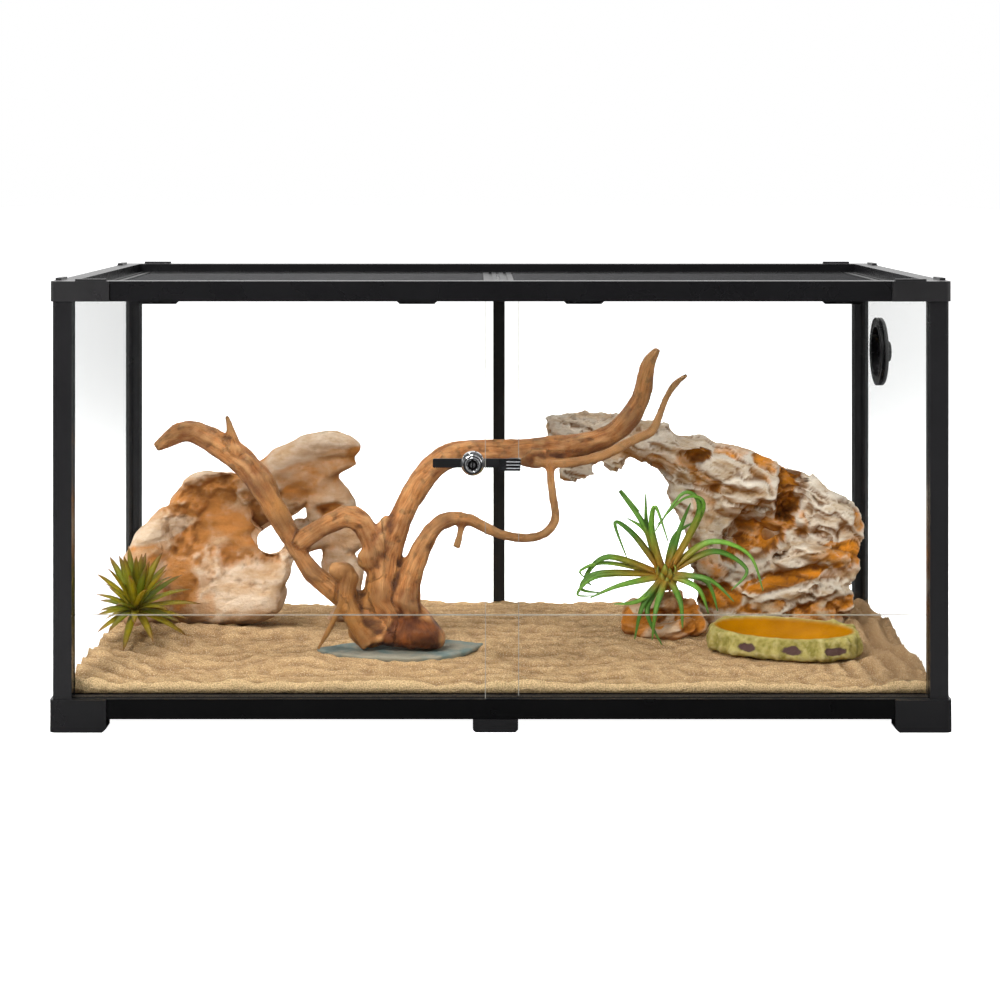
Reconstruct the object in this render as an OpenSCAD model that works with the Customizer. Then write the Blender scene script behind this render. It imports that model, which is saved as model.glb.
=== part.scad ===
// Front-opening reptile terrarium with two sliding glass doors, two lift-off
// screen lids, a rotary side vent, a ratchet-bar door lock and a furnished
// sand floor. Millimetres, +Z up; the origin is on the floor, under the
// middle of the tank, and the doors face -Y.

/* [Tank] */
// Width over the outer faces of the corner posts
tank_w = 910; // [905:1:1100]
// Depth over the outer faces of the corner posts
tank_d = 453.2; // [453:0.1:560]
// Height from the floor to the top faces of the top rails
tank_h = 457.2; // [450:0.1:600]

/* [Frame] */
// Side of the square corner posts, which is also the width of the rails
post_w = 19.7; // [19:0.1:24]
// Wall of the hollow post and rail sections
section_wall = 1.8; // [1.2:0.1:2.2]
// Radius of the posts' outer vertical corner
post_corner_r = 4; // [2:0.1:5]
// Height of the top rails
top_rail_h = 20.5; // [18:0.1:26]
// Height of the gap under the base rails
base_gap = 13; // [10:0.1:20]
// Height of the base rails
base_rail_h = 20.4; // [18:0.1:32]
// Depth of the front base rail, which also holds the low glass behind the doors
front_rail_d = 26.7; // [26:0.1:32]
// Reach of the ledge that carries the lids, inward from the top rails
ledge_reach = 6; // [4:0.1:9]
// Thickness of that ledge
ledge_t = 1.5; // [1:0.1:2.5]

/* [Corner pieces] */
// Length of each leg of a top corner cap
cap_leg = 60; // [45:1:80]
// How far a top corner cap stands proud of the rails
cap_skin = 2; // [1.2:0.1:3]
// Length of the raised stacking pads on the caps
pad_l = 31.5; // [15:0.5:34]
// Width of those pads
pad_w = 6; // [3:0.1:10]
// Height of those pads
pad_h = 2.3; // [1:0.1:4]
// Distance from a cap's corner to its pads
pad_inset = 25.5; // [10:0.5:26]
// Distance from a cap's outer face to its pads
pad_edge = 0.8; // [0.4:0.1:1]
// Length of each leg of a corner foot
foot_leg = 58; // [45:1:80]
// How far a corner foot stands proud of the rails
foot_skin = 2.8; // [1.5:0.1:4]
// Height of a corner foot
foot_h = 33; // [24:0.5:36]
// Chamfer at the bottom inner end of a foot's legs
foot_chamfer = 4; // [1:0.5:8]
// Width of the middle feet under the front and back base rails
middle_foot_w = 46; // [30:1:70]
// Place of the middle feet, right of the tank's centre
middle_foot_x = -5.4; // [-20:0.1:20]
// Radius of the foot screws' shanks
screw_r = 2; // [1.5:0.1:2.5]
// Radius of the foot screws' heads
screw_head_r = 3.8; // [3:0.1:4.5]
// Length of the foot screws' shanks
screw_l = 22; // [12:1:40]

/* [Glass] */
// Thickness of the side, back and low front glass
glass_t = 4; // [3:0.1:5]
// Thickness of the bottom glass
bottom_glass_t = 4; // [3:0.1:6]
// How deep each pane sits in its groove
glass_engage = 5.5; // [4:0.1:6]
// Distance from a post's outer face to the side glass
side_glass_setback = 7.5; // [6:0.1:7.6]
// Distance from a post's outer face to the back glass
back_glass_setback = 9.6; // [9:0.1:9.8]
// Height of the top edge of the low front glass above the floor
low_glass_top = 114.5; // [80:0.5:160]
// Width of the upright strip that joins the two back panes
back_strip_w = 14; // [12:0.1:24]
// Depth of that strip
back_strip_d = 14; // [10:0.1:16]
// Place of that strip, right of the tank's centre
back_strip_x = 2.4; // [-20:0.1:20]

/* [Doors] */
// Thickness of the door glass
door_t = 4; // [3:0.1:4.6]
// Distance from a post's outer face to the outer door's front face
outer_door_setback = 3.6; // [3.4:0.1:4]
// Distance between the front faces of the two doors
door_pitch = 9; // [8.6:0.1:9.2]
// How far the doors reach into the posts when shut
door_engage = 2.7; // [1.5:0.1:3]
// Left edge of the right-hand door, which runs in the outer track
right_door_edge = -16; // [-40:0.5:-5]
// Right edge of the left-hand door, which runs in the inner track
left_door_edge = 18.75; // [5:0.25:40]
// Depth of the lower track groove
lower_track_depth = 4; // [3:0.1:5]
// Depth of the upper track groove, deep enough to lift a door out
upper_track_depth = 10; // [8:0.1:11]
// Width of the pile strip between the tracks
pile_w = 3; // [2:0.1:3.6]
// Height of the pile strip
pile_h = 1; // [1:0.1:4]

/* [Lock] */
// Length of the ratchet bar, from its free end to the left-hand door's edge
bar_l = 88; // [75:1:120]
// Height of the ratchet bar
bar_h = 9.8; // [8:0.1:12]
// Thickness of the ratchet bar
bar_t = 2; // [1.5:0.1:2]
// Height of the bar's top edge above the floor
bar_top = 276.1; // [200:0.1:330]
// Gap between the bar and the left-hand door's glass
bar_standoff = 1.6; // [1.4:0.1:1.8]
// Pitch of the ratchet teeth
tooth_pitch = 2; // [1.5:0.1:3]
// Depth of the ratchet teeth
tooth_depth = 1; // [0.5:0.1:1.5]
// Length of the sleeve that hooks round the door's edge
sleeve_l = 22; // [16:1:30]
// Wall of the sleeve
sleeve_wall = 0.8; // [0.6:0.1:0.9]
// Diameter of the lock barrel
barrel_d = 24.4; // [20:0.1:30]
// Length of the lock barrel
barrel_l = 19.5; // [14:0.5:28]
// Height of the lock barrel's axis above the floor
barrel_z = 271.5; // [200:0.1:330]
// Diameter of the key plug
plug_d = 11.6; // [9:0.1:12]
// Depth of the key plug in the barrel
plug_l = 12; // [8:0.5:13]

/* [Vent] */
// Outer diameter of the vent's two rings
vent_d = 79; // [70:1:90]
// Diameter of the hole in the side glass
vent_hole_d = 64; // [56:1:66]
// Depth of the vent's axis behind the tank's centre
vent_y = 101.5; // [60:0.5:140]
// How far the vent's axis lies below the top of the tank
vent_drop = 97.9; // [80:0.1:150]
// Thickness of the ring inside the glass
vent_inner_t = 2; // [1.5:0.1:3]
// Thickness of the grille outside the glass
vent_outer_t = 5; // [4:0.1:7]
// Number of air slots
vent_slots = 8; // [6:1:10]
// Diameter of the vent's knob
vent_knob_d = 24.6; // [18:0.1:30]
// Length of the vent's knob
vent_knob_l = 8; // [5:0.1:10]
// Radius of the shutter's spindle
spindle_r = 4; // [3:0.1:6]

/* [Lids] */
// Height of a lid's frame
lid_h = 9; // [6:0.1:10]
// Width of the bars of a lid's frame
lid_bar_w = 15; // [12:0.5:24]
// Thickness of the screen
screen_t = 0.6; // [0.4:0.1:0.8]
// How far the screen's underside lies below the lid's top
screen_drop = 1.6; // [1.4:0.1:3]
// How deep the screen sits in the lid's frame
screen_engage = 4; // [2:0.1:4]
// Width of the bar between the two lids
centre_web_w = 3; // [2:0.1:6]
// Width of that bar's foot
centre_foot_w = 16; // [12:0.5:24]
// Width of the clips that hold a lid in place
clip_w = 41.8; // [25:0.1:60]
// Thickness of those clips
clip_t = 3; // [2:0.1:5]
// How far the clips reach below the lid
clip_drop = 5.9; // [3:0.1:9]
// Distance from a lid's middle to each of its clips
clip_offset = 132.7; // [80:0.1:160]

/* [Sand] */
// Height of the flat sand above the floor
sand_top = 44; // [42:0.5:60]
// Height of the sand's ripples
ripple_h = 2.4; // [0.5:0.1:3]
// Distance between the sand's ripples
ripple_pitch = 62; // [40:1:120]

/* [Furnishings] */
// Thickness of the slate under the driftwood
slate_t = 6; // [4:0.5:10]
// Width of the food dish
dish_w = 175; // [150:1:190]
// Depth of the food dish
dish_d = 98; // [80:1:100]
// Height of the food dish at its ends
dish_h = 27; // [20:0.5:36]
// How much higher the dish's rim is behind than at its ends
dish_slope = 4; // [0:0.5:6]
// Wall of the food dish at its rim
dish_wall = 9; // [6:0.5:12]
// Thickness of the food dish's floor
dish_floor = 7; // [4:0.5:10]
// How square the dish's outline is: 1 is an ellipse, and less has squarer corners
dish_squareness = 0.72; // [0.6:0.01:1]
// Number of leaves on the rosette plant
rosette_leaves = 26; // [12:1:40]
// Longest leaf of the rosette plant
rosette_leaf_l = 76; // [50:1:80]
// How far that plant spreads to its open side
rosette_reach = 74; // [50:1:76]
// Height of that plant's crown over the sand
rosette_crown_h = 38; // [20:1:45]
// Width of the air plant's leaves
air_leaf_w = 9; // [5:0.5:11]
// Height of the air plant's crown over its foot
air_crown_h = 18; // [10:1:24]

/* [Clearances] */
// Play of a fixed pane in its groove, on each face
pane_play = 0.3; // [0.1:0.05:0.5]
// Play of a door in its tracks and slots, on each face
door_play = 0.5; // [0.3:0.05:0.6]
// Gap between pieces that move past or rest on each other
rest_gap = 0.3; // [0.2:0.05:0.5]
// Radial running clearance of a turning spindle or plug
running_gap = 0.05; // [0.02:0.01:0.1]
// Gap between a furnishing and what it stands on
seat_gap = 0.2; // [0.1:0.05:0.3]

/* [Hidden] */
$fn = 64;
cut = 1;             // how far a cutting solid runs past the face it opens
foot_cut = 100;      // height of the solid that cuts a foot flat
stone_fn = 8;        // facets of the rounded corners of a stone

// Frame levels and faces
half_w = tank_w / 2;
half_d = tank_d / 2;
inner_x = half_w - post_w;
inner_y = half_d - post_w;
base_top = base_gap + base_rail_h;
top_under = tank_h - top_rail_h;
front_inner_y = -half_d + front_rail_d;
groove_depth = glass_engage + pane_play;
ledge_top = top_under + ledge_t;
ledge_x = inner_x - ledge_reach;
ledge_y = inner_y - ledge_reach;
// Panes
pane_bottom = base_top - glass_engage;
pane_top = top_under + glass_engage;
bottom_glass_z = base_gap + 9;
bottom_glass_top = bottom_glass_z + bottom_glass_t;
side_glass_outer_x = half_w - side_glass_setback;
side_glass_inner_x = side_glass_outer_x - glass_t;
back_glass_outer_y = half_d - back_glass_setback;
back_glass_inner_y = back_glass_outer_y - glass_t;
pane_end_x = inner_x + glass_engage;
pane_end_y = inner_y + glass_engage;
post_top = pane_top + pane_play;
low_glass_back_y = front_inner_y - 1.7;
low_glass_front_y = low_glass_back_y - glass_t;
strip_web = 5.4;
// Doors and tracks
outer_door_y = -half_d + outer_door_setback;
inner_door_y = outer_door_y + door_pitch;
track_wall = 1.4;
track_front_y = outer_door_y - door_play - track_wall;
track_back_y = inner_door_y + door_t + door_play + track_wall;
lower_track_z = base_top - lower_track_depth;
track_floor_t = 1.5;
door_bottom = lower_track_z + rest_gap;
door_top = top_under + lower_track_depth + rest_gap;
door_slot_depth = door_engage + 2 * rest_gap;
door_end_x = inner_x + door_engage;
// Lock
bar_y = inner_door_y - bar_standoff - bar_t;
bar_right = left_door_edge;
bar_left = bar_right - bar_l;
bar_bottom = bar_top - bar_h;
sleeve_right = left_door_edge + 1.55;
sleeve_drop = 2.6;
barrel_back_y = inner_door_y - rest_gap;
barrel_front_y = barrel_back_y - barrel_l;
barrel_x = right_door_edge - rest_gap - barrel_d / 2;
// Vent
vent_z = tank_h - vent_drop;
vent_inner_x = side_glass_inner_x - vent_inner_t;
vent_outer_x = side_glass_outer_x + vent_outer_t;
vent_tube_r = vent_hole_d / 2 - pane_play;
vent_throat_r = vent_tube_r - 2.7;
grille_t = 1.6;
shutter_t = 1.5;
slot_span = 360 / vent_slots;
// Lids
lid_bottom = ledge_top + rest_gap;
lid_top = lid_bottom + lid_h;
lid_inner_x = centre_web_w / 2 + rest_gap;
lid_outer_x = inner_x - rest_gap;
lid_half_d = inner_y - rest_gap;
lid_mid_x = (lid_inner_x + lid_outer_x) / 2;
screen_z = lid_top - screen_drop;
clip_y = ledge_y - rest_gap;
// Furnishings: those by a wall are placed from it
stand_z = sand_top + seat_gap;
slate_top = stand_z + slate_t;
rosette_from_side = 52;     // the middle of the rosette from the tank's left side
air_from_side = 267;        // the middle of the air plant from the right side
dish_from_side = 144;       // the middle of the dish from the right side
rosette_at = [rosette_from_side - half_w, -24];
air_at = [half_w - air_from_side, 12];
dish_at = [half_w - dish_from_side, -58];
dish_turn = -19;      // the dish's turn about the vertical
dish_z = sand_top + rest_gap;

// ---------- shared shapes ----------

// A box between two corners
module box(a, b) {
    translate(a) cube(b - a);
}

// Places a front left corner piece at one of the four corners: sx and sy are -1 or 1
module at_corner(sx, sy) {
    mirror([sx > 0 ? 1 : 0, 0, 0]) mirror([0, sy > 0 ? 1 : 0, 0])
        translate([-half_w, -half_d, 0]) children();
}

// What a rounding of radius r takes off the corner at the origin
module corner_shave(r, z0, z1) {
    difference() {
        box([-cut, -cut, z0 - cut], [r, r, z1 + cut]);
        translate([r, r, z0 - 2 * cut]) cylinder(r = r, h = z1 - z0 + 4 * cut);
    }
}

// A rounded stone: the hull of balls given as [x, y, z, radius]
module stone(balls) {
    hull() for (b = balls) translate([b[0], b[1], b[2]]) sphere(r = b[3], $fn = stone_fn);
}

// A ball stretched to three half-widths
module hollow(at, size) {
    translate(at) scale(size) sphere(r = 1, $fn = 12);
}

// A point on the smooth curve through four route points
function curve_point(a, b, c, d, t) =
    0.5 * (2 * b + (c - a) * t + (2 * a - 5 * b + 4 * c - d) * t * t
        + (3 * b - a - 3 * c + d) * t * t * t);

// The route [x, y, z, radius] with extra points between the given ones
function smooth_route(p, steps) = let (n = len(p)) concat(
    [for (i = [0 : n - 2], s = [0 : steps - 1])
        curve_point(p[max(i - 1, 0)], p[i], p[i + 1], p[min(i + 2, n - 1)], s / steps)],
    [p[n - 1]]);

function unit(v) = v / max(norm(v), 0.0001);
function xyz(p) = [p[0], p[1], p[2]];

// Direction of a route at point i
function heading(p, i) = unit(xyz(p[min(i + 1, len(p) - 1)]) - xyz(p[max(i - 1, 0)]));

// A round limb along a route of [x, y, z, radius], with a knobbly section
module limb(route, steps = 2, sides = 8, knobbly = 0.08, flat = 1) {
    p = smooth_route(route, steps);
    n = len(p);
    points = [for (i = [0 : n - 1]) let (
            dir = heading(p, i),
            side = unit(cross(dir, abs(dir[1]) < 0.9 ? [0, 1, 0] : [1, 0, 0])),
            up = cross(side, dir)
        ) for (k = [0 : sides - 1]) let (
            a = 360 * k / sides,
            r = p[i][3] * (1 + knobbly * sin(i * 97 + k * 131))
        ) xyz(p[i]) + r * (cos(a) * side + flat * sin(a) * up)];
    walls = [for (i = [0 : n - 2], k = [0 : sides - 1]) let (
            m = (k + 1) % sides,
            a = i * sides,
            b = a + sides
        ) each [[a + k, b + m, b + k], [a + k, a + m, b + m]]];
    last = (n - 1) * sides;
    caps = [for (k = [1 : sides - 2]) each [[0, k + 1, k], [last, last + k, last + k + 1]]];
    polyhedron(points, concat(walls, caps), convexity = 6);
}

// ---------- frame ----------

module base_rail_side() {
    color("#1c1c1e") difference() {
        box([-half_w, -inner_y, base_gap], [-inner_x, inner_y, base_top]);
        box([-side_glass_outer_x - pane_play, -inner_y - cut, base_top - groove_depth],
            [-side_glass_inner_x + pane_play, inner_y + cut, base_top + cut]);
        box([-pane_end_x - pane_play, -inner_y - cut, bottom_glass_z - pane_play],
            [-inner_x + cut, inner_y + cut, bottom_glass_top + pane_play]);
        box([-half_w + section_wall, -inner_y - cut, base_gap + section_wall],
            [-pane_end_x - pane_play - section_wall, inner_y + cut,
                base_top - groove_depth - section_wall]);
    }
}

module base_rail_left() base_rail_side();
module base_rail_right() mirror([1, 0, 0]) base_rail_side();

module base_rail_back() {
    color("#1c1c1e") difference() {
        box([-inner_x, inner_y, base_gap], [inner_x, half_d, base_top]);
        box([-inner_x - cut, back_glass_inner_y - pane_play, base_top - groove_depth],
            [inner_x + cut, back_glass_outer_y + pane_play, base_top + cut]);
        box([-inner_x - cut, inner_y - cut, bottom_glass_z - pane_play],
            [inner_x + cut, pane_end_y + pane_play, bottom_glass_top + pane_play]);
        box([-inner_x - cut, pane_end_y + pane_play + section_wall, base_gap + section_wall],
            [inner_x + cut, half_d - section_wall, base_top - groove_depth - section_wall]);
    }
}

module base_rail_front() {
    color("#1c1c1e") difference() {
        box([-inner_x, -half_d, base_gap], [inner_x, front_inner_y, base_top]);
        box([-inner_x - cut, track_front_y, lower_track_z - track_floor_t],
            [inner_x + cut, track_back_y, base_top + cut]);
        box([-inner_x - cut, low_glass_front_y - pane_play, base_top - groove_depth],
            [inner_x + cut, low_glass_back_y + pane_play, base_top + cut]);
        box([-inner_x - cut, front_inner_y - groove_depth, bottom_glass_z - pane_play],
            [inner_x + cut, front_inner_y + cut, bottom_glass_top + pane_play]);
        box([-inner_x - cut, -half_d + section_wall, base_gap + section_wall],
            [inner_x + cut, front_inner_y - groove_depth - section_wall,
                lower_track_z - track_floor_t - section_wall]);
    }
}

// The two-channel insert that the doors run in, opening upward from z = 0
module track_insert(depth) {
    difference() {
        box([-inner_x, track_front_y, -track_floor_t], [inner_x, track_back_y, depth]);
        for (y = [outer_door_y, inner_door_y])
            box([-inner_x - cut, y - door_play, 0], [inner_x + cut, y + door_t + door_play, depth + cut]);
    }
}

module lower_door_track() {
    color("#232325") translate([0, 0, lower_track_z]) track_insert(lower_track_depth);
}

module upper_door_track() {
    color("#232325") translate([0, 0, top_under + upper_track_depth])
        mirror([0, 0, 1]) track_insert(upper_track_depth);
}

module track_pile() {
    color("#2a211b") translate([0, (outer_door_y + door_t + inner_door_y - pile_w) / 2, base_top])
        box([-inner_x, 0, 0], [inner_x, pile_w, pile_h]);
}

// A corner post; the door's slot starts door_at behind the outer face, and a
// back post has the back glass there instead
module post(door_at, slot_t, slot_play, slot_depth) {
    screw_at = [post_w / 2 + 1, post_w / 2 - 3.4];
    color("#1c1c1e") difference() {
        box([0, 0, base_gap], [post_w, post_w, post_top]);
        corner_shave(post_corner_r, base_gap, post_top);
        box([side_glass_setback - pane_play, post_w - groove_depth, base_gap - cut],
            [side_glass_setback + glass_t + pane_play, post_w + cut, post_top + cut]);
        box([post_w - slot_depth, door_at - slot_play, base_gap - cut],
            [post_w + cut, door_at + slot_t + slot_play, post_top + cut]);
        box([section_wall, post_corner_r, base_gap - cut],
            [side_glass_setback - pane_play - section_wall, post_w - section_wall, post_top + cut]);
        translate([screw_at[0], screw_at[1], base_gap - cut])
            cylinder(r = screw_r + running_gap, h = screw_l + cut);
    }
}

module front_post(sx, door_at) at_corner(sx, -1) post(door_at, door_t, door_play, door_slot_depth);
module back_post(sx) at_corner(sx, 1) post(back_glass_setback, glass_t, pane_play, groove_depth);

module post_front_left() front_post(-1, outer_door_setback + door_pitch);
module post_front_right() front_post(1, outer_door_setback);
module post_back_left() back_post(-1);
module post_back_right() back_post(1);

// One leg of a foot, along +X from the corner: a block under the rail and a skin before it
module foot_leg_shape() {
    end = foot_leg - foot_skin;
    rotate([90, 0, 0]) translate([0, 0, -post_w]) linear_extrude(height = post_w + foot_skin)
        polygon([[-foot_skin, 0], [end - foot_chamfer, 0], [end, foot_chamfer],
            [end, base_gap], [-foot_skin, base_gap]]);
    box([-foot_skin, -foot_skin, 0], [foot_leg - foot_skin - foot_chamfer, 0, foot_h]);
    box([0, -foot_skin, foot_chamfer], [end, 0, foot_h]);
}

module foot() {
    screw_at = [post_w / 2 + 1, post_w / 2 - 3.4];
    color("#18181a") difference() {
        union() {
            foot_leg_shape();
            mirror([1, -1, 0]) foot_leg_shape();
        }
        translate([-foot_skin, -foot_skin, 0]) corner_shave(post_corner_r + foot_skin, 0, foot_h);
        translate([screw_at[0], screw_at[1], -cut]) {
            cylinder(r = screw_r + pane_play, h = base_gap + 2 * cut);
            cylinder(r = screw_head_r + pane_play, h = cut + 5);
        }
    }
}

module foot_front_left() at_corner(-1, -1) foot();
module foot_front_right() at_corner(1, -1) foot();
module foot_back_left() at_corner(-1, 1) foot();
module foot_back_right() at_corner(1, 1) foot();

// The screws that hold the feet to the posts, driven up from below
module foot_screws() {
    screw_at = [post_w / 2 + 1, post_w / 2 - 3.4];
    color("#8a8c90") for (sx = [-1, 1], sy = [-1, 1]) at_corner(sx, sy)
        translate([screw_at[0], screw_at[1], 0]) difference() {
            union() {
                translate([0, 0, 2.4]) cylinder(r = screw_head_r, h = 2.6);
                translate([0, 0, 2.4]) cylinder(r = screw_r, h = base_gap + screw_l - 4);
            }
            for (turn = [0, 90]) rotate(turn) translate([-2.4, -0.5, 1.4]) cube([4.8, 1, 2.2]);
        }
}

module middle_foot() {
    color("#18181a") difference() {
        box([middle_foot_x - middle_foot_w / 2, -half_d - foot_skin / 2, 0],
            [middle_foot_x + middle_foot_w / 2, -inner_y, base_gap]);
        for (s = [-1, 1]) translate([middle_foot_x + s * middle_foot_w / 2, 0, 0])
            rotate([0, 45, 0]) cube([foot_chamfer, tank_d + 4 * foot_skin, foot_chamfer], center = true);
    }
}

module middle_foot_front() middle_foot();
module middle_foot_back() mirror([0, 1, 0]) middle_foot();

// The H-shaped strip that the two back panes butt into
module back_strip() {
    front = inner_y;
    color("#171717") difference() {
        box([back_strip_x - back_strip_w / 2, front, base_top],
            [back_strip_x + back_strip_w / 2, front + back_strip_d, top_under]);
        for (s = [-1, 1]) {
            near = back_strip_x + s * strip_web / 2;
            far = back_strip_x + s * (back_strip_w / 2 + cut);
            box([min(near, far), back_glass_inner_y - pane_play, base_top - cut],
                [max(near, far), back_glass_outer_y + pane_play, top_under + cut]);
        }
    }
}

module top_rail_side() {
    color("#1c1c1e") difference() {
        union() {
            box([-half_w, -inner_y, top_under], [-inner_x, inner_y, tank_h]);
            box([-inner_x - cut, -ledge_y, top_under], [-ledge_x, ledge_y, ledge_top]);
        }
        box([-side_glass_outer_x - pane_play, -inner_y - cut, top_under - cut],
            [-side_glass_inner_x + pane_play, inner_y + cut, top_under + groove_depth]);
        box([-half_w + section_wall, -inner_y - cut, top_under + groove_depth + section_wall],
            [-inner_x - section_wall, inner_y + cut, tank_h - section_wall]);
    }
}

module top_rail_left() top_rail_side();
module top_rail_right() mirror([1, 0, 0]) top_rail_side();

module top_rail_back() {
    color("#1c1c1e") difference() {
        union() {
            box([-inner_x, inner_y, top_under], [inner_x, half_d, tank_h]);
            box([-inner_x, ledge_y, top_under], [inner_x, inner_y + cut, ledge_top]);
        }
        box([-inner_x - cut, back_glass_inner_y - pane_play, top_under - cut],
            [inner_x + cut, back_glass_outer_y + pane_play, top_under + groove_depth]);
        box([-inner_x - cut, inner_y + section_wall, top_under + groove_depth + section_wall],
            [inner_x + cut, half_d - section_wall, tank_h - section_wall]);
    }
}

module top_rail_front() {
    pocket_top = top_under + upper_track_depth + track_floor_t;
    color("#1c1c1e") difference() {
        union() {
            box([-inner_x, -half_d, top_under], [inner_x, -inner_y, tank_h]);
            box([-inner_x, -inner_y - cut, top_under], [inner_x, -ledge_y, ledge_top]);
        }
        box([-inner_x - cut, track_front_y, top_under - cut], [inner_x + cut, track_back_y, pocket_top]);
        box([-inner_x - cut, -half_d + section_wall, pocket_top + section_wall],
            [inner_x + cut, -inner_y - section_wall, tank_h - section_wall]);
    }
}

// A corner cap: a block on the post and a skin round the rails' ends, with two raised pads
module top_cap() {
    end = cap_leg - cap_skin;
    color("#202022") difference() {
        union() {
            box([0, 0, post_top], [post_w, post_w, tank_h]);
            box([-cap_skin, -cap_skin, top_under], [end, 0, tank_h]);
            box([-cap_skin, -cap_skin, top_under], [0, end, tank_h]);
            for (flip = [0, 1]) mirror([flip, -flip, 0])
                box([pad_inset - cap_skin, pad_edge - cap_skin, tank_h],
                    [pad_inset - cap_skin + pad_l, pad_edge - cap_skin + pad_w, tank_h + pad_h]);
        }
        translate([-cap_skin, -cap_skin, 0]) corner_shave(post_corner_r + cap_skin, top_under, tank_h);
    }
}

module top_cap_front_left() at_corner(-1, -1) top_cap();
module top_cap_front_right() at_corner(1, -1) top_cap();
module top_cap_back_left() at_corner(-1, 1) top_cap();
module top_cap_back_right() at_corner(1, 1) top_cap();

module top_centre_bar() {
    color("#1c1c1e") union() {
        box([-centre_foot_w / 2, -ledge_y, top_under], [centre_foot_w / 2, ledge_y, ledge_top]);
        box([-centre_web_w / 2, -inner_y, ledge_top], [centre_web_w / 2, inner_y, lid_top]);
    }
}

// ---------- fixed glass ----------

module bottom_glass() {
    y_front = front_inner_y - glass_engage;
    color("#d8ece6", 0.5) union() {
        box([-pane_end_x, y_front, bottom_glass_z], [pane_end_x, inner_y - pane_play, bottom_glass_top]);
        box([-inner_x + pane_play, y_front, bottom_glass_z],
            [inner_x - pane_play, pane_end_y, bottom_glass_top]);
    }
}

module side_glass_left() {
    color("#d8ece6", 0.4) box([-side_glass_outer_x, -pane_end_y, pane_bottom],
        [-side_glass_inner_x, pane_end_y, pane_top]);
}

module side_glass_right() {
    color("#d8ece6", 0.4) difference() {
        box([side_glass_inner_x, -pane_end_y, pane_bottom], [side_glass_outer_x, pane_end_y, pane_top]);
        translate([side_glass_inner_x - cut, vent_y, vent_z]) rotate([0, 90, 0])
            cylinder(d = vent_hole_d, h = glass_t + 2 * cut);
    }
}

module back_glass_left() {
    color("#d8ece6", 0.4) box([-pane_end_x, back_glass_inner_y, pane_bottom],
        [back_strip_x - strip_web / 2 - pane_play, back_glass_outer_y, pane_top]);
}

module back_glass_right() {
    color("#d8ece6", 0.4) box([back_strip_x + strip_web / 2 + pane_play, back_glass_inner_y, pane_bottom],
        [pane_end_x, back_glass_outer_y, pane_top]);
}

module low_front_glass() {
    color("#d8ece6", 0.4) union() {
        box([-inner_x + pane_play, low_glass_front_y, pane_bottom],
            [inner_x - pane_play, low_glass_back_y, low_glass_top]);
        box([-side_glass_inner_x + pane_play, low_glass_front_y, base_top + pane_play],
            [side_glass_inner_x - pane_play, low_glass_back_y, low_glass_top]);
    }
}

// ---------- doors and lock ----------

module door_left() {
    color("#dcefe9", 0.4) box([-door_end_x, inner_door_y, door_bottom],
        [left_door_edge, inner_door_y + door_t, door_top]);
}

module door_right() {
    color("#dcefe9", 0.4) box([right_door_edge, outer_door_y, door_bottom],
        [door_end_x, outer_door_y + door_t, door_top]);
}

// A flat steel bar with ratchet teeth along its lower edge
module lock_bar() {
    sleeve_left = sleeve_right - sleeve_l;
    teeth = floor((sleeve_left - bar_left) / tooth_pitch) - 1;
    color("#202225") translate([0, bar_y + bar_t, 0]) rotate([90, 0, 0]) linear_extrude(height = bar_t)
        polygon(concat(
            [[bar_right, bar_top], [bar_left + 1, bar_top], [bar_left, bar_top - 1],
                [bar_left, bar_bottom + tooth_depth]],
            [for (i = [0 : teeth - 1], s = [0, 1]) let (x = bar_left + 1 + i * tooth_pitch)
                s == 0 ? [x, bar_bottom + tooth_depth] : [x + tooth_pitch / 4, bar_bottom]],
            [[bar_left + 1 + teeth * tooth_pitch, bar_bottom + tooth_depth],
                [bar_right, bar_bottom + tooth_depth]]));
}

// The black sleeve on the bar's end, which hooks round the edge of the door
module lock_sleeve() {
    front = bar_y - sleeve_wall;
    back = inner_door_y + door_t + 1.6;
    left = sleeve_right - sleeve_l;
    top = bar_top - sleeve_drop + 2.2;
    bottom = bar_bottom - sleeve_drop;
    color("#161618") difference() {
        box([left, front, bottom], [sleeve_right, back, top]);
        box([left - cut, inner_door_y - bar_standoff / 2, bottom - cut],
            [left_door_edge + running_gap, inner_door_y + door_t, top + cut]);
        box([left - cut, inner_door_y, bottom - cut],
            [sleeve_right - sleeve_l / 2, back + cut, top + cut]);
        box([left - cut, bar_y, bar_bottom], [bar_right, bar_y + bar_t, bar_top]);
        for (z = [0.35, 0.65]) box([left + 5, front - cut, bottom + z * (top - bottom) - 0.4],
            [sleeve_right - 2, front + 0.35, bottom + z * (top - bottom) + 0.4]);
    }
}

// The chrome barrel, a stepped turning with a slot for the bar and a bore for the plug
module lock_barrel() {
    r = barrel_d / 2;
    plug_r = plug_d / 2 + running_gap;
    color("#c9ccd0") difference() {
        translate([barrel_x, barrel_back_y, barrel_z]) rotate([90, 0, 0]) rotate_extrude()
            polygon([[0, 0], [r - 0.6, 0], [r, 0.6], [r, barrel_l * 0.42], [r - 1.2, barrel_l * 0.5],
                [r - 1.8, barrel_l * 0.5], [r - 1.8, barrel_l * 0.84], [r - 3.4, barrel_l],
                [plug_r, barrel_l], [plug_r, barrel_l - plug_l - rest_gap], [0, barrel_l - plug_l - rest_gap]]);
        box([barrel_x - barrel_d, bar_y - rest_gap, bar_bottom - rest_gap],
            [barrel_x + barrel_d, bar_y + bar_t + rest_gap, bar_top + rest_gap]);
    }
}

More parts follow.
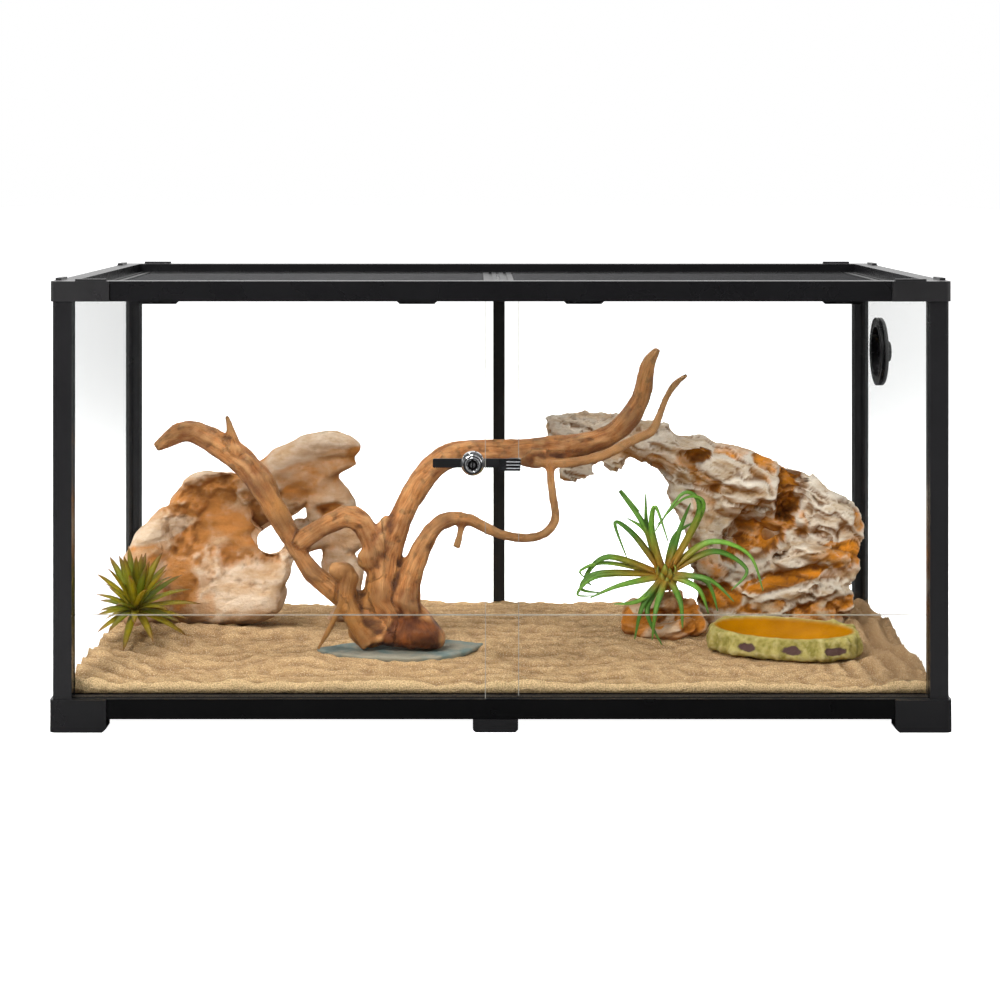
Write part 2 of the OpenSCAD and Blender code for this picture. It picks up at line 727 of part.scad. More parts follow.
// The key plug, with its keyway
module lock_plug() {
    color("#b4b7bb") difference() {
        translate([barrel_x, barrel_front_y + plug_l, barrel_z]) rotate([90, 0, 0])
            cylinder(d = plug_d, h = plug_l - 1.2);
        box([barrel_x - 0.8, barrel_front_y, barrel_z - 3.4],
            [barrel_x + 0.8, barrel_front_y + plug_l - 2, barrel_z + 3.4]);
    }
}

// ---------- vent ----------

// Puts a shape drawn along +Z from the origin on the vent's axis, at height x
module on_vent(x) {
    translate([x, vent_y, vent_z]) rotate([0, 90, 0]) children();
}

// The wedge-shaped air slots of the grille and the shutter
module vent_slot_cutters(height, turn) {
    inner_r = spindle_r + 5;
    outer_r = vent_throat_r - 4;
    for (i = [0 : vent_slots - 1]) rotate(turn + i * slot_span) linear_extrude(height = height)
        polygon([[inner_r, 0], [inner_r * cos(slot_span * 0.38), inner_r * sin(slot_span * 0.38)],
            [outer_r * cos(slot_span * 0.38), outer_r * sin(slot_span * 0.38)],
            [outer_r * cos(slot_span * 0.19) * 1.03, outer_r * sin(slot_span * 0.19) * 1.03],
            [outer_r, 0]]);
}

module vent_inner_ring() {
    color("#2a2b2d") on_vent(vent_inner_x) difference() {
        union() {
            cylinder(d = vent_d, h = vent_inner_t);
            cylinder(r = vent_tube_r, h = vent_inner_t + glass_t);
        }
        translate([0, 0, -cut]) cylinder(r = vent_throat_r, h = vent_inner_t + glass_t + 2 * cut);
        translate([0, 0, -cut]) difference() {
            cylinder(r = vent_d / 2 - 2, h = cut + 0.6);
            translate([0, 0, -cut]) cylinder(r = vent_throat_r + 2.4, h = 4 * cut);
        }
    }
}

module vent_grille() {
    color("#1b1c1e") on_vent(side_glass_outer_x) difference() {
        union() {
            cylinder(d = vent_d, h = vent_outer_t - 1.5);
            translate([0, 0, vent_outer_t - 1.5]) cylinder(d1 = vent_d, d2 = vent_d - 3, h = 1.5);
        }
        translate([0, 0, -cut]) cylinder(r = vent_throat_r, h = vent_outer_t - grille_t + cut);
        translate([0, 0, vent_outer_t - grille_t - cut]) {
            cylinder(r = spindle_r + running_gap, h = grille_t + 2 * cut);
            vent_slot_cutters(grille_t + 2 * cut, 0);
        }
    }
}

module vent_shutter() {
    disc_x = vent_outer_x - grille_t - rest_gap - shutter_t;
    color("#141416") union() {
        on_vent(disc_x) difference() {
            cylinder(r = vent_throat_r - rest_gap, h = shutter_t);
            translate([0, 0, -cut]) vent_slot_cutters(shutter_t + 2 * cut, slot_span / 2);
        }
        on_vent(disc_x) cylinder(r = spindle_r, h = shutter_t + 2 * rest_gap + grille_t);
        on_vent(vent_outer_x + rest_gap) difference() {
            union() {
                cylinder(d = vent_knob_d, h = vent_knob_l - 1.5);
                translate([0, 0, vent_knob_l - 1.5])
                    cylinder(d1 = vent_knob_d, d2 = vent_knob_d - 3, h = 1.5);
            }
            for (i = [0 : 11]) rotate(i * 30) translate([vent_knob_d / 2 + 1, 0, 1.5])
                cylinder(r = 2, h = vent_knob_l);
        }
    }
}

// ---------- lids ----------

// The right-hand lid's frame; the left one is its mirror image
module lid_frame() {
    color("#1f1f21") difference() {
        box([lid_inner_x, -lid_half_d, lid_bottom], [lid_outer_x, lid_half_d, lid_top]);
        box([lid_inner_x + lid_bar_w, -lid_half_d + lid_bar_w, lid_bottom - cut],
            [lid_outer_x - lid_bar_w, lid_half_d - lid_bar_w, lid_top + cut]);
        screen_slot(screen_z - 0.1, screen_t + 0.2, lid_bar_w - screen_engage - 0.2);
        difference() {
            box([lid_inner_x + 5, -lid_half_d + 5, lid_top - 1.5], [lid_outer_x - 5, lid_half_d - 5, lid_top + cut]);
            box([lid_inner_x + 8.5, -lid_half_d + 8.5, lid_top - 2 * cut],
                [lid_outer_x - 8.5, lid_half_d - 8.5, lid_top + 2 * cut]);
        }
    }
}

// The flat space that the screen fills, inset by edge from the lid's outline
module screen_slot(z, t, edge) {
    box([lid_inner_x + edge, -lid_half_d + edge, z], [lid_outer_x - edge, lid_half_d - edge, z + t]);
}

module lid_screen() color("#4a4b4d") screen_slot(screen_z, screen_t, lid_bar_w - screen_engage);

// Four lugs under the lid that drop inside the ledge and stop the lid sliding
module lid_clips() {
    color("#151517") for (sy = [-1, 1], sx = [-1, 1])
        translate([lid_mid_x + sx * clip_offset, sy * clip_y, lid_bottom])
            mirror([0, sy > 0 ? 1 : 0, 0]) rotate([90, 0, 0]) translate([0, 0, -clip_t])
                linear_extrude(height = clip_t)
                    polygon([[-clip_w / 2, 0], [-clip_w / 2, -clip_drop / 2], [-clip_w / 2 + 3, -clip_drop],
                        [clip_w / 2 - 3, -clip_drop], [clip_w / 2, -clip_drop / 2], [clip_w / 2, 0]]);
}

module lid_frame_left() mirror([1, 0, 0]) lid_frame();
module lid_frame_right() lid_frame();
module lid_screen_left() mirror([1, 0, 0]) lid_screen();
module lid_screen_right() lid_screen();
module lid_clips_left() mirror([1, 0, 0]) lid_clips();
module lid_clips_right() lid_clips();

// ---------- sand ----------

// Flat places under the furnishings, as [x, y, radius], with x from the middle or from a side
middle_spots = [[-115, -65, 105], [-45, -65, 50]];
left_spots = [[60, 75, 70], [135, 75, 95], [240, 80, 75], [52, -24, 42]];
right_spots = [[-265, 20, 75], [-155, 70, 115], [-70, 60, 75], [-185, -45, 75], [-110, -70, 75]];
flat_spots = concat(middle_spots,
    [for (s = left_spots) [s[0] - half_w, s[1], s[2]]],
    [for (s = right_spots) [s[0] + half_w, s[1], s[2]]]);

function ramp(t) = let (c = max(0, min(1, t))) c * c * (3 - 2 * c);

// 0 on a flat spot, and 1 well away from all of them
function roughness(x, y, i = 0) = i >= len(flat_spots) ? 1 : min(
    ramp((norm([x - flat_spots[i][0], y - flat_spots[i][1]]) - flat_spots[i][2]) / 30),
    roughness(x, y, i + 1));

function sand_height(x, y) = sand_top + roughness(x, y) * ripple_h * 0.5
    * (sin(360 * (x + 0.6 * y) / ripple_pitch) + sin(360 * (y - 0.35 * x) / (ripple_pitch * 1.6)));

// The sand fills the floor up to the glass, on top of the side rails too
module sand_bed() {
    floor_x = inner_x - rest_gap;
    edge_x = side_glass_inner_x - rest_gap;
    floor_y = front_inner_y + rest_gap;
    edge_y = low_glass_back_y + rest_gap;
    back_y = inner_y - rest_gap;
    across = 28;
    deep = 16;
    xs = concat([-edge_x, -floor_x - 0.1], [for (i = [0 : across]) -floor_x + 2 * floor_x * i / across],
        [floor_x + 0.1, edge_x]);
    ys = concat([edge_y, floor_y - 0.1], [for (j = [0 : deep]) floor_y + (back_y - floor_y) * j / deep]);
    nx = len(xs);
    ny = len(ys);
    top = [for (y = ys, x = xs) [x, y, sand_height(x, y)]];
    under = [for (y = ys, x = xs) [x, y, abs(x) > floor_x || y < floor_y
        ? base_top + seat_gap : bottom_glass_top + seat_gap]];
    n = nx * ny;
    cells = [for (j = [0 : ny - 2], i = [0 : nx - 2]) j * nx + i];
    rim = concat([for (i = [0 : nx - 2]) [i, i + 1]],
        [for (j = [0 : ny - 2]) [j * nx + nx - 1, (j + 1) * nx + nx - 1]],
        [for (i = [nx - 2 : -1 : 0]) [(ny - 1) * nx + i + 1, (ny - 1) * nx + i]],
        [for (j = [ny - 2 : -1 : 0]) [(j + 1) * nx, j * nx]]);
    color("#cfae7c") polyhedron(concat(top, under), concat(
        [for (c = cells) each [[c, c + nx, c + nx + 1], [c, c + nx + 1, c + 1]]],
        [for (c = cells) each [[n + c, n + c + nx + 1, n + c + nx], [n + c, n + c + 1, n + c + nx + 1]]],
        [for (e = rim) each [[e[0], e[1], n + e[1]], [e[0], n + e[1], n + e[0]]]]), convexity = 8);
}

// ---------- driftwood ----------

slate_outline = [[-199, -66], [-182, -88], [-150, -106], [-105, -114], [-66, -108], [-36, -82], [-16, -42],
    [-34, -22], [-80, -16], [-130, -26], [-172, -40]];

module slate_base() {
    color("#7f9a99") translate([0, 0, stand_z]) linear_extrude(height = slate_t) polygon(slate_outline);
}

// Routes of the driftwood's limbs as [x, y, z, radius], with z above the slate's top
wood_routes = [
    // left branch, from the stump to its blunt tip
    [[-150, -66, 48, 13], [-178, -62, 60, 13], [-204, -58, 80, 11], [-222, -52, 106, 11],
        [-240, -48, 138, 13], [-258, -44, 168, 14], [-278, -40, 196, 16], [-306, -34, 214, 15],
        [-335, -28, 230, 13], [-356, -24, 228, 12], [-381, -20, 212, 6]],
    // spur on the left branch
    [[-286, -38, 200, 7], [-294, -36, 226, 6], [-301, -34, 250, 2.5]],
    // bridge from the left branch to the trunk
    [[-218, -54, 112, 12], [-196, -56, 128, 11], [-170, -56, 141, 13], [-150, -58, 134, 13],
        [-138, -62, 110, 12], [-133, -64, 84, 12]],
    // main trunk and the limb that rises to the right
    [[-128, -66, 12, 23], [-130, -66, 40, 22], [-128, -64, 70, 19], [-122, -58, 100, 16],
        [-108, -52, 138, 14], [-88, -46, 176, 14], [-62, -40, 202, 15], [-28, -36, 210, 15],
        [10, -34, 208, 15], [46, -31, 212, 14], [76, -28, 213, 14], [104, -26, 219, 13],
        [128, -24, 229, 12], [146, -22, 246, 12], [157, -20, 266, 11], [163, -18, 290, 10],
        [168, -16, 309, 8], [178, -14, 321, 4]],
    // lower limb, which runs beside the main one and ends in a thin fork
    [[40, -44, 200, 6], [60, -46, 198, 6], [86, -48, 200, 6], [112, -48, 206, 6], [134, -46, 216, 6],
        [153, -44, 226, 5.5], [168, -42, 232, 5.5], [176, -40, 248, 4.5], [184, -38, 268, 4],
        [194, -36, 284, 4], [208, -34, 294, 3]],
    // second trunk and the root that arches over to the right
    [[-104, -66, 16, 22], [-104, -68, 44, 17], [-98, -68, 74, 14], [-88, -66, 100, 12],
        [-74, -64, 126, 10], [-56, -62, 140, 8], [-30, -60, 137, 7], [0, -56, 122, 6],
        [30, -54, 117, 5.5], [50, -52, 122, 5.5], [62, -50, 136, 5.5], [60, -48, 156, 5],
        [57, -47, 178, 5], [56, -46, 198, 5]],
    // hanging twig
    [[-40, -60, 138, 5], [-43, -62, 122, 4], [-47, -63, 108, 5]],
    // front root on the left
    [[-162, -72, 82, 10], [-166, -76, 56, 10], [-156, -80, 30, 11], [-140, -78, 8, 12]],
    // leaning stick
    [[-172, -82, 50, 4], [-184, -86, 24, 4], [-196, -90, 3, 2.5]]
];

// Knots, burrs and the cut block at the foot, as groups of balls
wood_knots = [
    [[-118, -78, 18, 16], [-76, -80, 16, 15], [-72, -62, 12, 13], [-96, -58, 40, 14]],
    [[-150, -70, 20, 17], [-132, -72, 16, 16], [-140, -66, 48, 14]],
    [[-166, -72, 84, 9], [-178, -80, 88, 7], [-160, -70, 74, 8]],
    [[-142, -64, 96, 14], [-126, -62, 118, 13]],
    [[-132, -62, 120, 9], [-124, -60, 140, 5]],
    [[20, -40, 205, 9], [42, -36, 198, 8]],
    [[140, -24, 240, 12], [152, -22, 256, 10]],
    [[-262, -44, 178, 14], [-270, -42, 188, 13]],
    [[-108, -66, 60, 13], [-96, -64, 92, 10]],
    [[-50, -62, 140, 8], [-62, -62, 136, 9]]
];

module driftwood() {
    lift = slate_top + seat_gap;
    color("#b07a4e") difference() {
        translate([0, 0, lift]) union() {
            for (route = wood_routes) limb(route);
            for (knot = wood_knots) stone(knot);
        }
        translate([-half_w, -half_d, lift - foot_cut]) cube([tank_w, tank_d, foot_cut]);
    }
}

// ---------- rocks ----------

// Rounded masses of the cave rock as [x, y, z, radius], with x from the left side and z above the sand
cave_masses = [
    [[43, 60, 20, 24], [41, 52, 78, 20], [59, 70, 104, 22], [83, 84, 30, 30]],
    [[51, 52, 96, 18], [71, 62, 128, 16], [93, 92, 90, 30]],
    [[83, 66, 30, 30], [93, 86, 136, 24], [125, 96, 150, 24], [137, 62, 30, 28]],
    [[103, 84, 160, 16], [117, 86, 162, 15], [159, 92, 160, 18], [155, 70, 130, 16]],
    [[137, 58, 24, 26], [189, 52, 34, 20], [193, 92, 40, 24], [137, 102, 60, 26]],
    [[155, 86, 158, 18], [193, 82, 178, 18], [217, 92, 150, 20], [167, 98, 120, 20]],
    [[199, 80, 184, 18], [229, 74, 200, 16], [257, 74, 196, 16], [241, 92, 158, 18]],
    [[231, 70, 206, 14], [259, 64, 212, 17], [283, 60, 212, 10], [292, 58, 207, 8]],
    [[269, 66, 186, 12], [291, 60, 190, 5], [255, 72, 176, 12]],
    [[251, 78, 176, 15], [273, 72, 160, 10], [285, 76, 142, 10], [249, 92, 128, 18]],
    [[259, 88, 140, 15], [289, 78, 130, 10], [289, 80, 96, 11], [263, 98, 90, 16]],
    [[265, 94, 92, 15], [287, 84, 60, 12], [283, 86, 14, 14], [257, 110, 14, 16]],
    [[193, 60, 50, 16], [209, 54, 84, 14], [155, 66, 110, 18], [145, 70, 60, 22]],
    [[209, 62, 84, 12], [229, 72, 92, 12], [249, 86, 100, 13], [223, 92, 110, 12]]
];

// Hollows weathered into it as [place, half-widths]
cave_hollows = [
    [[137, 26, 124], [56, 40, 34]],
    [[193, 34, 112], [38, 34, 26]],
    [[194, 80, 98], [17, 70, 14]],
    [[243, 84, 30], [26, 80, 36]],
    [[197, 120, 40], [60, 46, 48]],
    [[251, 62, 132], [14, 22, 7]],
    [[63, 40, 40], [20, 20, 24]]
];

// Rounded masses of the arch rock, its long overhang first, with x from the right side
arch_masses = [
    [[-389, 56, 212, 20], [-391, 50, 238, 14], [-359, 60, 232, 22], [-355, 56, 204, 20]],
    [[-379, 44, 178, 12], [-359, 46, 180, 13], [-363, 56, 208, 16]],
    [[-359, 58, 226, 24], [-327, 56, 230, 22], [-321, 60, 206, 16], [-297, 58, 222, 20]],
    [[-329, 50, 196, 10], [-317, 48, 190, 9], [-323, 56, 210, 12]],
    [[-305, 58, 222, 22], [-265, 56, 218, 20], [-249, 62, 202, 22], [-279, 56, 204, 14]],
    [[-259, 58, 208, 22], [-225, 60, 204, 20], [-241, 64, 168, 18], [-205, 66, 180, 28]],
    [[-249, 62, 158, 14], [-233, 62, 122, 14], [-217, 66, 100, 16], [-211, 70, 160, 18]],
    [[-209, 62, 190, 24], [-167, 58, 184, 22], [-139, 62, 168, 26], [-185, 72, 150, 28]],
    [[-149, 60, 172, 26], [-103, 58, 156, 22], [-79, 62, 136, 22], [-135, 74, 130, 28]],
    [[-89, 58, 144, 20], [-53, 58, 132, 18], [-45, 62, 96, 16], [-81, 68, 100, 26]],
    [[-219, 64, 96, 18], [-205, 70, 18, 22], [-159, 78, 60, 28], [-169, 74, 120, 24]],
    [[-193, 56, 14, 20], [-137, 48, 18, 22], [-125, 70, 90, 24], [-179, 78, 60, 26]],
    [[-137, 60, 20, 26], [-83, 52, 16, 22], [-67, 64, 66, 20], [-119, 70, 90, 26]],
    [[-79, 62, 90, 22], [-53, 62, 74, 14], [-69, 66, 14, 18], [-103, 74, 60, 24]],
    [[-175, 40, 44, 8], [-155, 38, 60, 8], [-93, 36, 62, 9], [-125, 36, 40, 9]],
    [[-137, 38, 84, 10], [-105, 36, 96, 9], [-63, 44, 84, 12], [-87, 52, 70, 14]]
];

arch_hollows = [
    [[-173, 30, 118], [30, 36, 32]],
    [[-203, 30, 90], [18, 26, 38]],
    [[-115, 26, 142], [24, 30, 20]],
    [[-85, 28, 108], [26, 24, 12]],
    [[-279, 32, 232], [34, 18, 16]],
    [[-133, 24, 66], [30, 14, 10]],
    [[-233, 34, 196], [22, 16, 12]]
];

ledge_h = 51.8;      // the ledge's top, where the air plant stands
ledge_masses = [
    [[-305, 14, 14, 14], [-303, 16, 32, 12], [-287, 22, 16, 16]],
    [[-287, 12, 36, 13], [-265, 12, 40, 13], [-277, 22, 20, 14]],
    [[-269, 8, 9, 9], [-249, 12, 12, 10], [-259, 18, 18, 10]],
    [[-277, -6, 9, 9], [-257, -10, 11, 10], [-241, -4, 18, 10]],
    [[-253, 18, 24, 12], [-237, 22, 30, 12], [-245, 26, 12, 12]],
    [[-295, 2, 8, 8], [-279, -2, 10, 9], [-285, 10, 16, 8]],
    [[-239, 4, 10, 10], [-227, 2, 16, 9], [-233, 12, 24, 9]],
    [[-265, 26, 40, 10], [-251, 28, 44, 8], [-259, 22, 30, 10]]
];

// A rock: its masses less its hollows, cut flat where it stands on the sand
module rock(masses, hollows) {
    difference() {
        translate([0, 0, stand_z]) difference() {
            for (mass = masses) stone(mass);
            for (h = hollows) hollow(h[0], h[1]);
        }
        translate([-half_w, -half_d, stand_z - foot_cut]) cube([tank_w, tank_d, foot_cut]);
    }
}

module cave_rock() color("#d3b392") translate([-half_w, 0, 0]) rock(cave_masses, cave_hollows);
module arch_rock() color("#cf9f6e") translate([half_w, 0, 0]) rock(arch_masses, arch_hollows);
module ledge_stones() color("#c58f5f") translate([half_w, 0, 0]) rock(ledge_masses, []);

// ---------- plants ----------

// A number between 0 and 1 that looks random but follows from i
function shuffle(i) = let (v = sin(i * 137.5 + 11) * 43.7) v - floor(v);

// How far a leaf may reach sideways at an angle: far on the open right side, less by the glass
function rosette_room(a) = rosette_reach * (0.72 + 0.28 * cos(a)) * (sin(a) > 0 ? 1 - 0.4 * sin(a) : 1);

// Stiff pointed leaves that spread from one crown on a short stalk
module rosette_plant() {
    golden = 137.5;
    color("#7d9a2f") translate([rosette_at[0], rosette_at[1], stand_z]) {
        for (i = [0 : 7]) rotate(i * 45) stone([[2, 0, 5, 5], [3, 0, rosette_crown_h, 5]]);
        for (i = [0 : rosette_leaves - 1]) {
            a = i * golden;
            rise = 80 - 104 * i / (rosette_leaves - 1);
            reach = min(rosette_leaf_l * (0.8 + 0.2 * shuffle(i)), rosette_room(a) / max(cos(rise), 0.01),
                rise < 0 ? (rosette_crown_h - 3) / sin(-rise) : rosette_leaf_l);
            rotate(a) translate([0, 0, rosette_crown_h]) rotate([0, -rise, 0]) hull() {
                translate([3, 0, 0]) cube([2, 5, 2], center = true);
                translate([reach * 0.4, 0, 0.5]) cube([2, 9, 2.4], center = true);
                translate([reach, 0, 1.5]) cube([0.8, 0.8, 0.8], center = true);
            }
        }
    }
}

// Routes of the air plant's leaves from its crown, as [x, y, z]
air_routes = [
    [[-8, 0, 14], [-25, -4, 58], [-52, -8, 97], [-30, -12, 74]],
    [[-10, 2, 8], [-20, 3, 48], [-22, 4, 92]],
    [[-8, -4, 12], [-16, -6, 52], [-12, -9, 79], [2, -12, 40]],
    [[-10, -2, 10], [-36, -10, 47], [-58, -16, 62], [-45, -20, 24]],
    [[-10, 0, 4], [-64, -6, 22], [-90, -10, 2], [-84, -13, -9]],
    [[-10, -4, 2], [-76, -14, 5], [-96, -20, -11], [-71, -24, -15]],
    [[-8, -8, 0], [-54, -28, -6], [-87, -36, -18]],
    [[-4, -10, -2], [-32, -40, -20], [-61, -50, -22]],
    [[-6, -10, -2], [-28, -40, -24], [-38, -44, -62]],
    [[-2, -12, -2], [-24, -42, -30], [-8, -46, -68]],
    [[1, -12, -2], [-14, -46, -26], [-19, -48, -62]],
    [[5, -10, 0], [14, -28, -24], [16, -33, -52]],
    [[8, -8, 2], [34, -24, -10], [46, -24, -38]],
    [[10, -6, 2], [46, -22, 0], [74, -26, -24]],
    [[10, -4, 4], [44, -10, -4], [58, -8, -38]],
    [[10, 0, 8], [54, -4, 28], [90, -12, 9], [72, -18, -13]],
    [[10, 2, 10], [48, -2, 38], [92, -8, 26], [108, -14, -14]],
    [[5, 3, 12], [16, 4, 50], [29, 6, 81]],
    [[10, 2, 12], [38, -2, 72], [20, -6, 94], [-14, -11, 50]],
    [[-4, 6, 10], [-20, 14, 46], [-42, 18, 62]],
    [[4, 6, 10], [12, 14, 42], [34, 16, 58]]
];

// Long narrow leaves that arch over and curl at the tip, on a short crown
module air_plant() {
    bulbs = 8;
    color("#4f9a33") translate([air_at[0], air_at[1], stand_z + ledge_h]) {
        for (i = [0 : bulbs - 1]) rotate(i * 360 / bulbs) stone([[3, 0, 5, 5], [5, 0, 16, 5]]);
        translate([0, 0, air_crown_h]) for (route = air_routes) {
            n = len(route);
            limb([for (i = [0 : n - 1]) concat(i == 0 ? route[0] * 0.62 : route[i],
                [air_leaf_w / 2 * (1 - 0.85 * pow(i / (n - 1), 1.5))])],
                steps = 2, sides = 4, knobbly = 0, flat = 0.42);
        }
    }
}

// ---------- food dish ----------

// A rounded oblong's outline at an angle: 1 gives an ellipse, and less squares its corners
function oblong(a, squareness) = [sign(cos(a)) * pow(abs(cos(a)), squareness),
    sign(sin(a)) * pow(abs(sin(a)), squareness)];

// A rock-sided basin: lumps round a solid wall, one smooth hollow, and a rim that rises to the back
module food_dish() {
    lumps = 12;
    half = [dish_w / 2, dish_d / 2];
    color("#cdbb52") translate([dish_at[0], dish_at[1], dish_z]) rotate(dish_turn) difference() {
        union() {
            stone([for (i = [0 : lumps - 1]) let (
                    a = 360 * (i + 0.5) / lumps,
                    o = oblong(a, dish_squareness)
                )
                each [[(half[0] - 9) * o[0], (half[1] - 9) * o[1], 6, 6],
                    [(half[0] - 10) * o[0], (half[1] - 10) * o[1], dish_h - 5 + dish_slope * sin(a), 5]]]);
            for (i = [0 : lumps - 1]) {
                a = 360 * i / lumps;
                o = oblong(a, dish_squareness);
                x = (half[0] - 8) * o[0];
                y = (half[1] - 8) * o[1];
                stone([[x, y, 8, 8], [x * 0.98, y * 0.96, dish_h - 7 + dish_slope * sin(a) + 3 * shuffle(i), 6],
                    [x * 0.8, y * 0.8, 7, 7]]);
            }
        }
        translate([0, 0, dish_h + 6]) scale([half[0] - dish_wall, half[1] - dish_wall, dish_h + 6 - dish_floor])
            sphere(r = 1, $fn = 24);
    }
}

// ---------- the parts ----------

base_rail_front();
base_rail_back();
base_rail_left();
base_rail_right();
foot_front_left();
foot_front_right();
foot_back_left();
foot_back_right();
middle_foot_front();
middle_foot_back();
post_front_left();
post_front_right();
post_back_left();
post_back_right();
back_strip();
top_rail_front();
top_rail_back();
top_rail_left();
top_rail_right();
top_cap_front_left();
top_cap_front_right();
top_cap_back_left();
top_cap_back_right();
top_centre_bar();
lower_door_track();
upper_door_track();
track_pile();
foot_screws();
bottom_glass();
back_glass_left();
back_glass_right();
side_glass_left();
side_glass_right();
low_front_glass();
vent_inner_ring();
vent_grille();
vent_shutter();
door_left();
door_right();
lock_bar();
lock_sleeve();
lock_barrel();
lock_plug();
lid_frame_left();
lid_frame_right();
lid_screen_left();
lid_screen_right();
lid_clips_left();
lid_clips_right();
sand_bed();
slate_base();
driftwood();
cave_rock();
arch_rock();
ledge_stones();
rosette_plant();
air_plant();
food_dish();
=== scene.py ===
"""Finishes for a front-opening glass terrarium with its furnished sand floor."""

import math
import random

import bpy
import numpy as np
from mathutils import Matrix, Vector, noise


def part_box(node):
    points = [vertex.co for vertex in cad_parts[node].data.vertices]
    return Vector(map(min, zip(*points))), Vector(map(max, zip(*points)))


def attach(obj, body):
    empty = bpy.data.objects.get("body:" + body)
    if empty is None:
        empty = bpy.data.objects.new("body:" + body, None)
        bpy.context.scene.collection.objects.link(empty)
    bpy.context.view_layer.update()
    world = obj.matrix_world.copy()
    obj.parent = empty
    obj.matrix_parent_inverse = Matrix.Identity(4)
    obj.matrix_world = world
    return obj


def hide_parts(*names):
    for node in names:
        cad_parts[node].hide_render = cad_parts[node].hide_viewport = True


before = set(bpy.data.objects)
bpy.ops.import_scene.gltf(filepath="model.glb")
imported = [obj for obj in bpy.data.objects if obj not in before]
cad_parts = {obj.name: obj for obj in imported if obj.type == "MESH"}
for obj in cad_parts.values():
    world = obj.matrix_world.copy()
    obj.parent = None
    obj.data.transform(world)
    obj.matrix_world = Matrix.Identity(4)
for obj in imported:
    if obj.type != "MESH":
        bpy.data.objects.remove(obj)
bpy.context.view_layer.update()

# ---------------------------------------------------------------- room, lamps and camera
# The tank stands on a plain pale table in a bright white room.
# Soft light comes from all round it, with one large lamp high in front and one overhead.
scene = bpy.context.scene
scene.view_settings.view_transform = "Standard"

camera_data = bpy.data.cameras.new("camera")
camera_data.sensor_width = 36
camera_data.lens = 76.4
camera_data.shift_x = 0.0215
camera_data.shift_y = -0.3216
camera = bpy.data.objects.new("camera", camera_data)
camera.location = (-0.0226, -2.3786, 0.5615)
camera.rotation_euler = (math.radians(90), 0, 0)
scene.collection.objects.link(camera)
scene.camera = camera


def link(tree, source, target):
    tree.links.new(source, target)


def add_node(tree, kind, **settings):
    """A new node, with sockets set by name where the node has one of that name."""
    node = tree.nodes.new(kind)
    for name, value in settings.items():
        if hasattr(node, name):
            setattr(node, name, value)
        else:
            node.inputs[name.replace("_", " ").title()].default_value = value
    return node


def ranged(tree, mask, low, high, start=0.0, end=1.0):
    """The mask's start to end, as low to high."""
    node = add_node(tree, "ShaderNodeMapRange")
    for label, value in (("From Min", start), ("From Max", end), ("To Min", low), ("To Max", high)):
        node.inputs[label].default_value = value
    link(tree, mask, node.inputs["Value"])
    return node.outputs["Result"]


def worked_out(tree, operation, *values, clamp=False):
    """The result of a math node; each value is a number or a socket."""
    node = add_node(tree, "ShaderNodeMath", operation=operation, use_clamp=clamp)
    for socket, value in zip(node.inputs, values):
        if isinstance(value, (int, float)):
            socket.default_value = value
        else:
            link(tree, value, socket)
    return node.outputs[0]


def part_along(tree, axis, vector):
    """A vector's part along an axis."""
    split = add_node(tree, "ShaderNodeSeparateXYZ")
    link(tree, vector, split.inputs[0])
    return split.outputs[axis]


def blend_colour(tree, mask, first, second):
    """A colour that goes from first to second with the mask; each is a colour or a socket."""
    mix = add_node(tree, "ShaderNodeMix", data_type="RGBA")
    link(tree, mask, mix.inputs["Factor"])
    for socket, value in ((mix.inputs[6], first), (mix.inputs[7], second)):
        if isinstance(value, tuple):
            socket.default_value = (*value, 1)
        else:
            link(tree, value, socket)
    return mix.outputs[2]


def new_material(name, roughness=0.5, specular=0.5, metallic=0.0):
    """A material, its node tree and its shader, with the settings that are plain numbers."""
    material = bpy.data.materials.new(name)
    material.use_nodes = True
    shader = material.node_tree.nodes["Principled BSDF"]
    shader.inputs["Roughness"].default_value = roughness
    shader.inputs["Specular IOR Level"].default_value = specular
    shader.inputs["Metallic"].default_value = metallic
    return material, material.node_tree, shader


room = bpy.data.worlds.new("white_room")
scene.world = room
room.use_nodes = True
sky = room.node_tree
backdrop = sky.nodes["Background"]
backdrop.inputs["Color"].default_value = (1, 1, 1, 1)
# Plain white to the eye and soft on matt things. Glossy things mirror a dim room with a bright ceiling,
# a bright wall behind the tank and a bright window at each side.
ray = add_node(sky, "ShaderNodeLightPath")
heading = add_node(sky, "ShaderNodeTexCoord").outputs["Generated"]
ceiling = ranged(sky, part_along(sky, "Z", heading), 0.07, 1.0, 0.05, 0.6)
wall = ranged(sky, part_along(sky, "Y", heading), 0.0, 0.93, 0.3, 0.8)
aside = worked_out(sky, "ABSOLUTE", part_along(sky, "X", heading))
window = ranged(sky, aside, 0.0, 1.0, 0.86, 0.93)
brightest = worked_out(sky, "MAXIMUM", worked_out(sky, "MAXIMUM", wall, window), ceiling)
mirrored = add_node(sky, "ShaderNodeMix", data_type="FLOAT")
soft_light, mirror_light = mirrored.inputs[2], mirrored.inputs[3]
soft_light.default_value = 0.24
link(sky, brightest, mirror_light)
link(sky, ray.outputs["Is Glossy Ray"], mirrored.inputs[0])
shown = add_node(sky, "ShaderNodeMix", data_type="FLOAT")
unseen_light, seen_light = shown.inputs[2], shown.inputs[3]
seen_light.default_value = 1.0
link(sky, mirrored.outputs[0], unseen_light)
seen = worked_out(sky, "MAXIMUM", ray.outputs["Is Camera Ray"], ray.outputs["Is Transmission Ray"])
link(sky, seen, shown.inputs[0])
link(sky, shown.outputs[0], backdrop.inputs["Strength"])


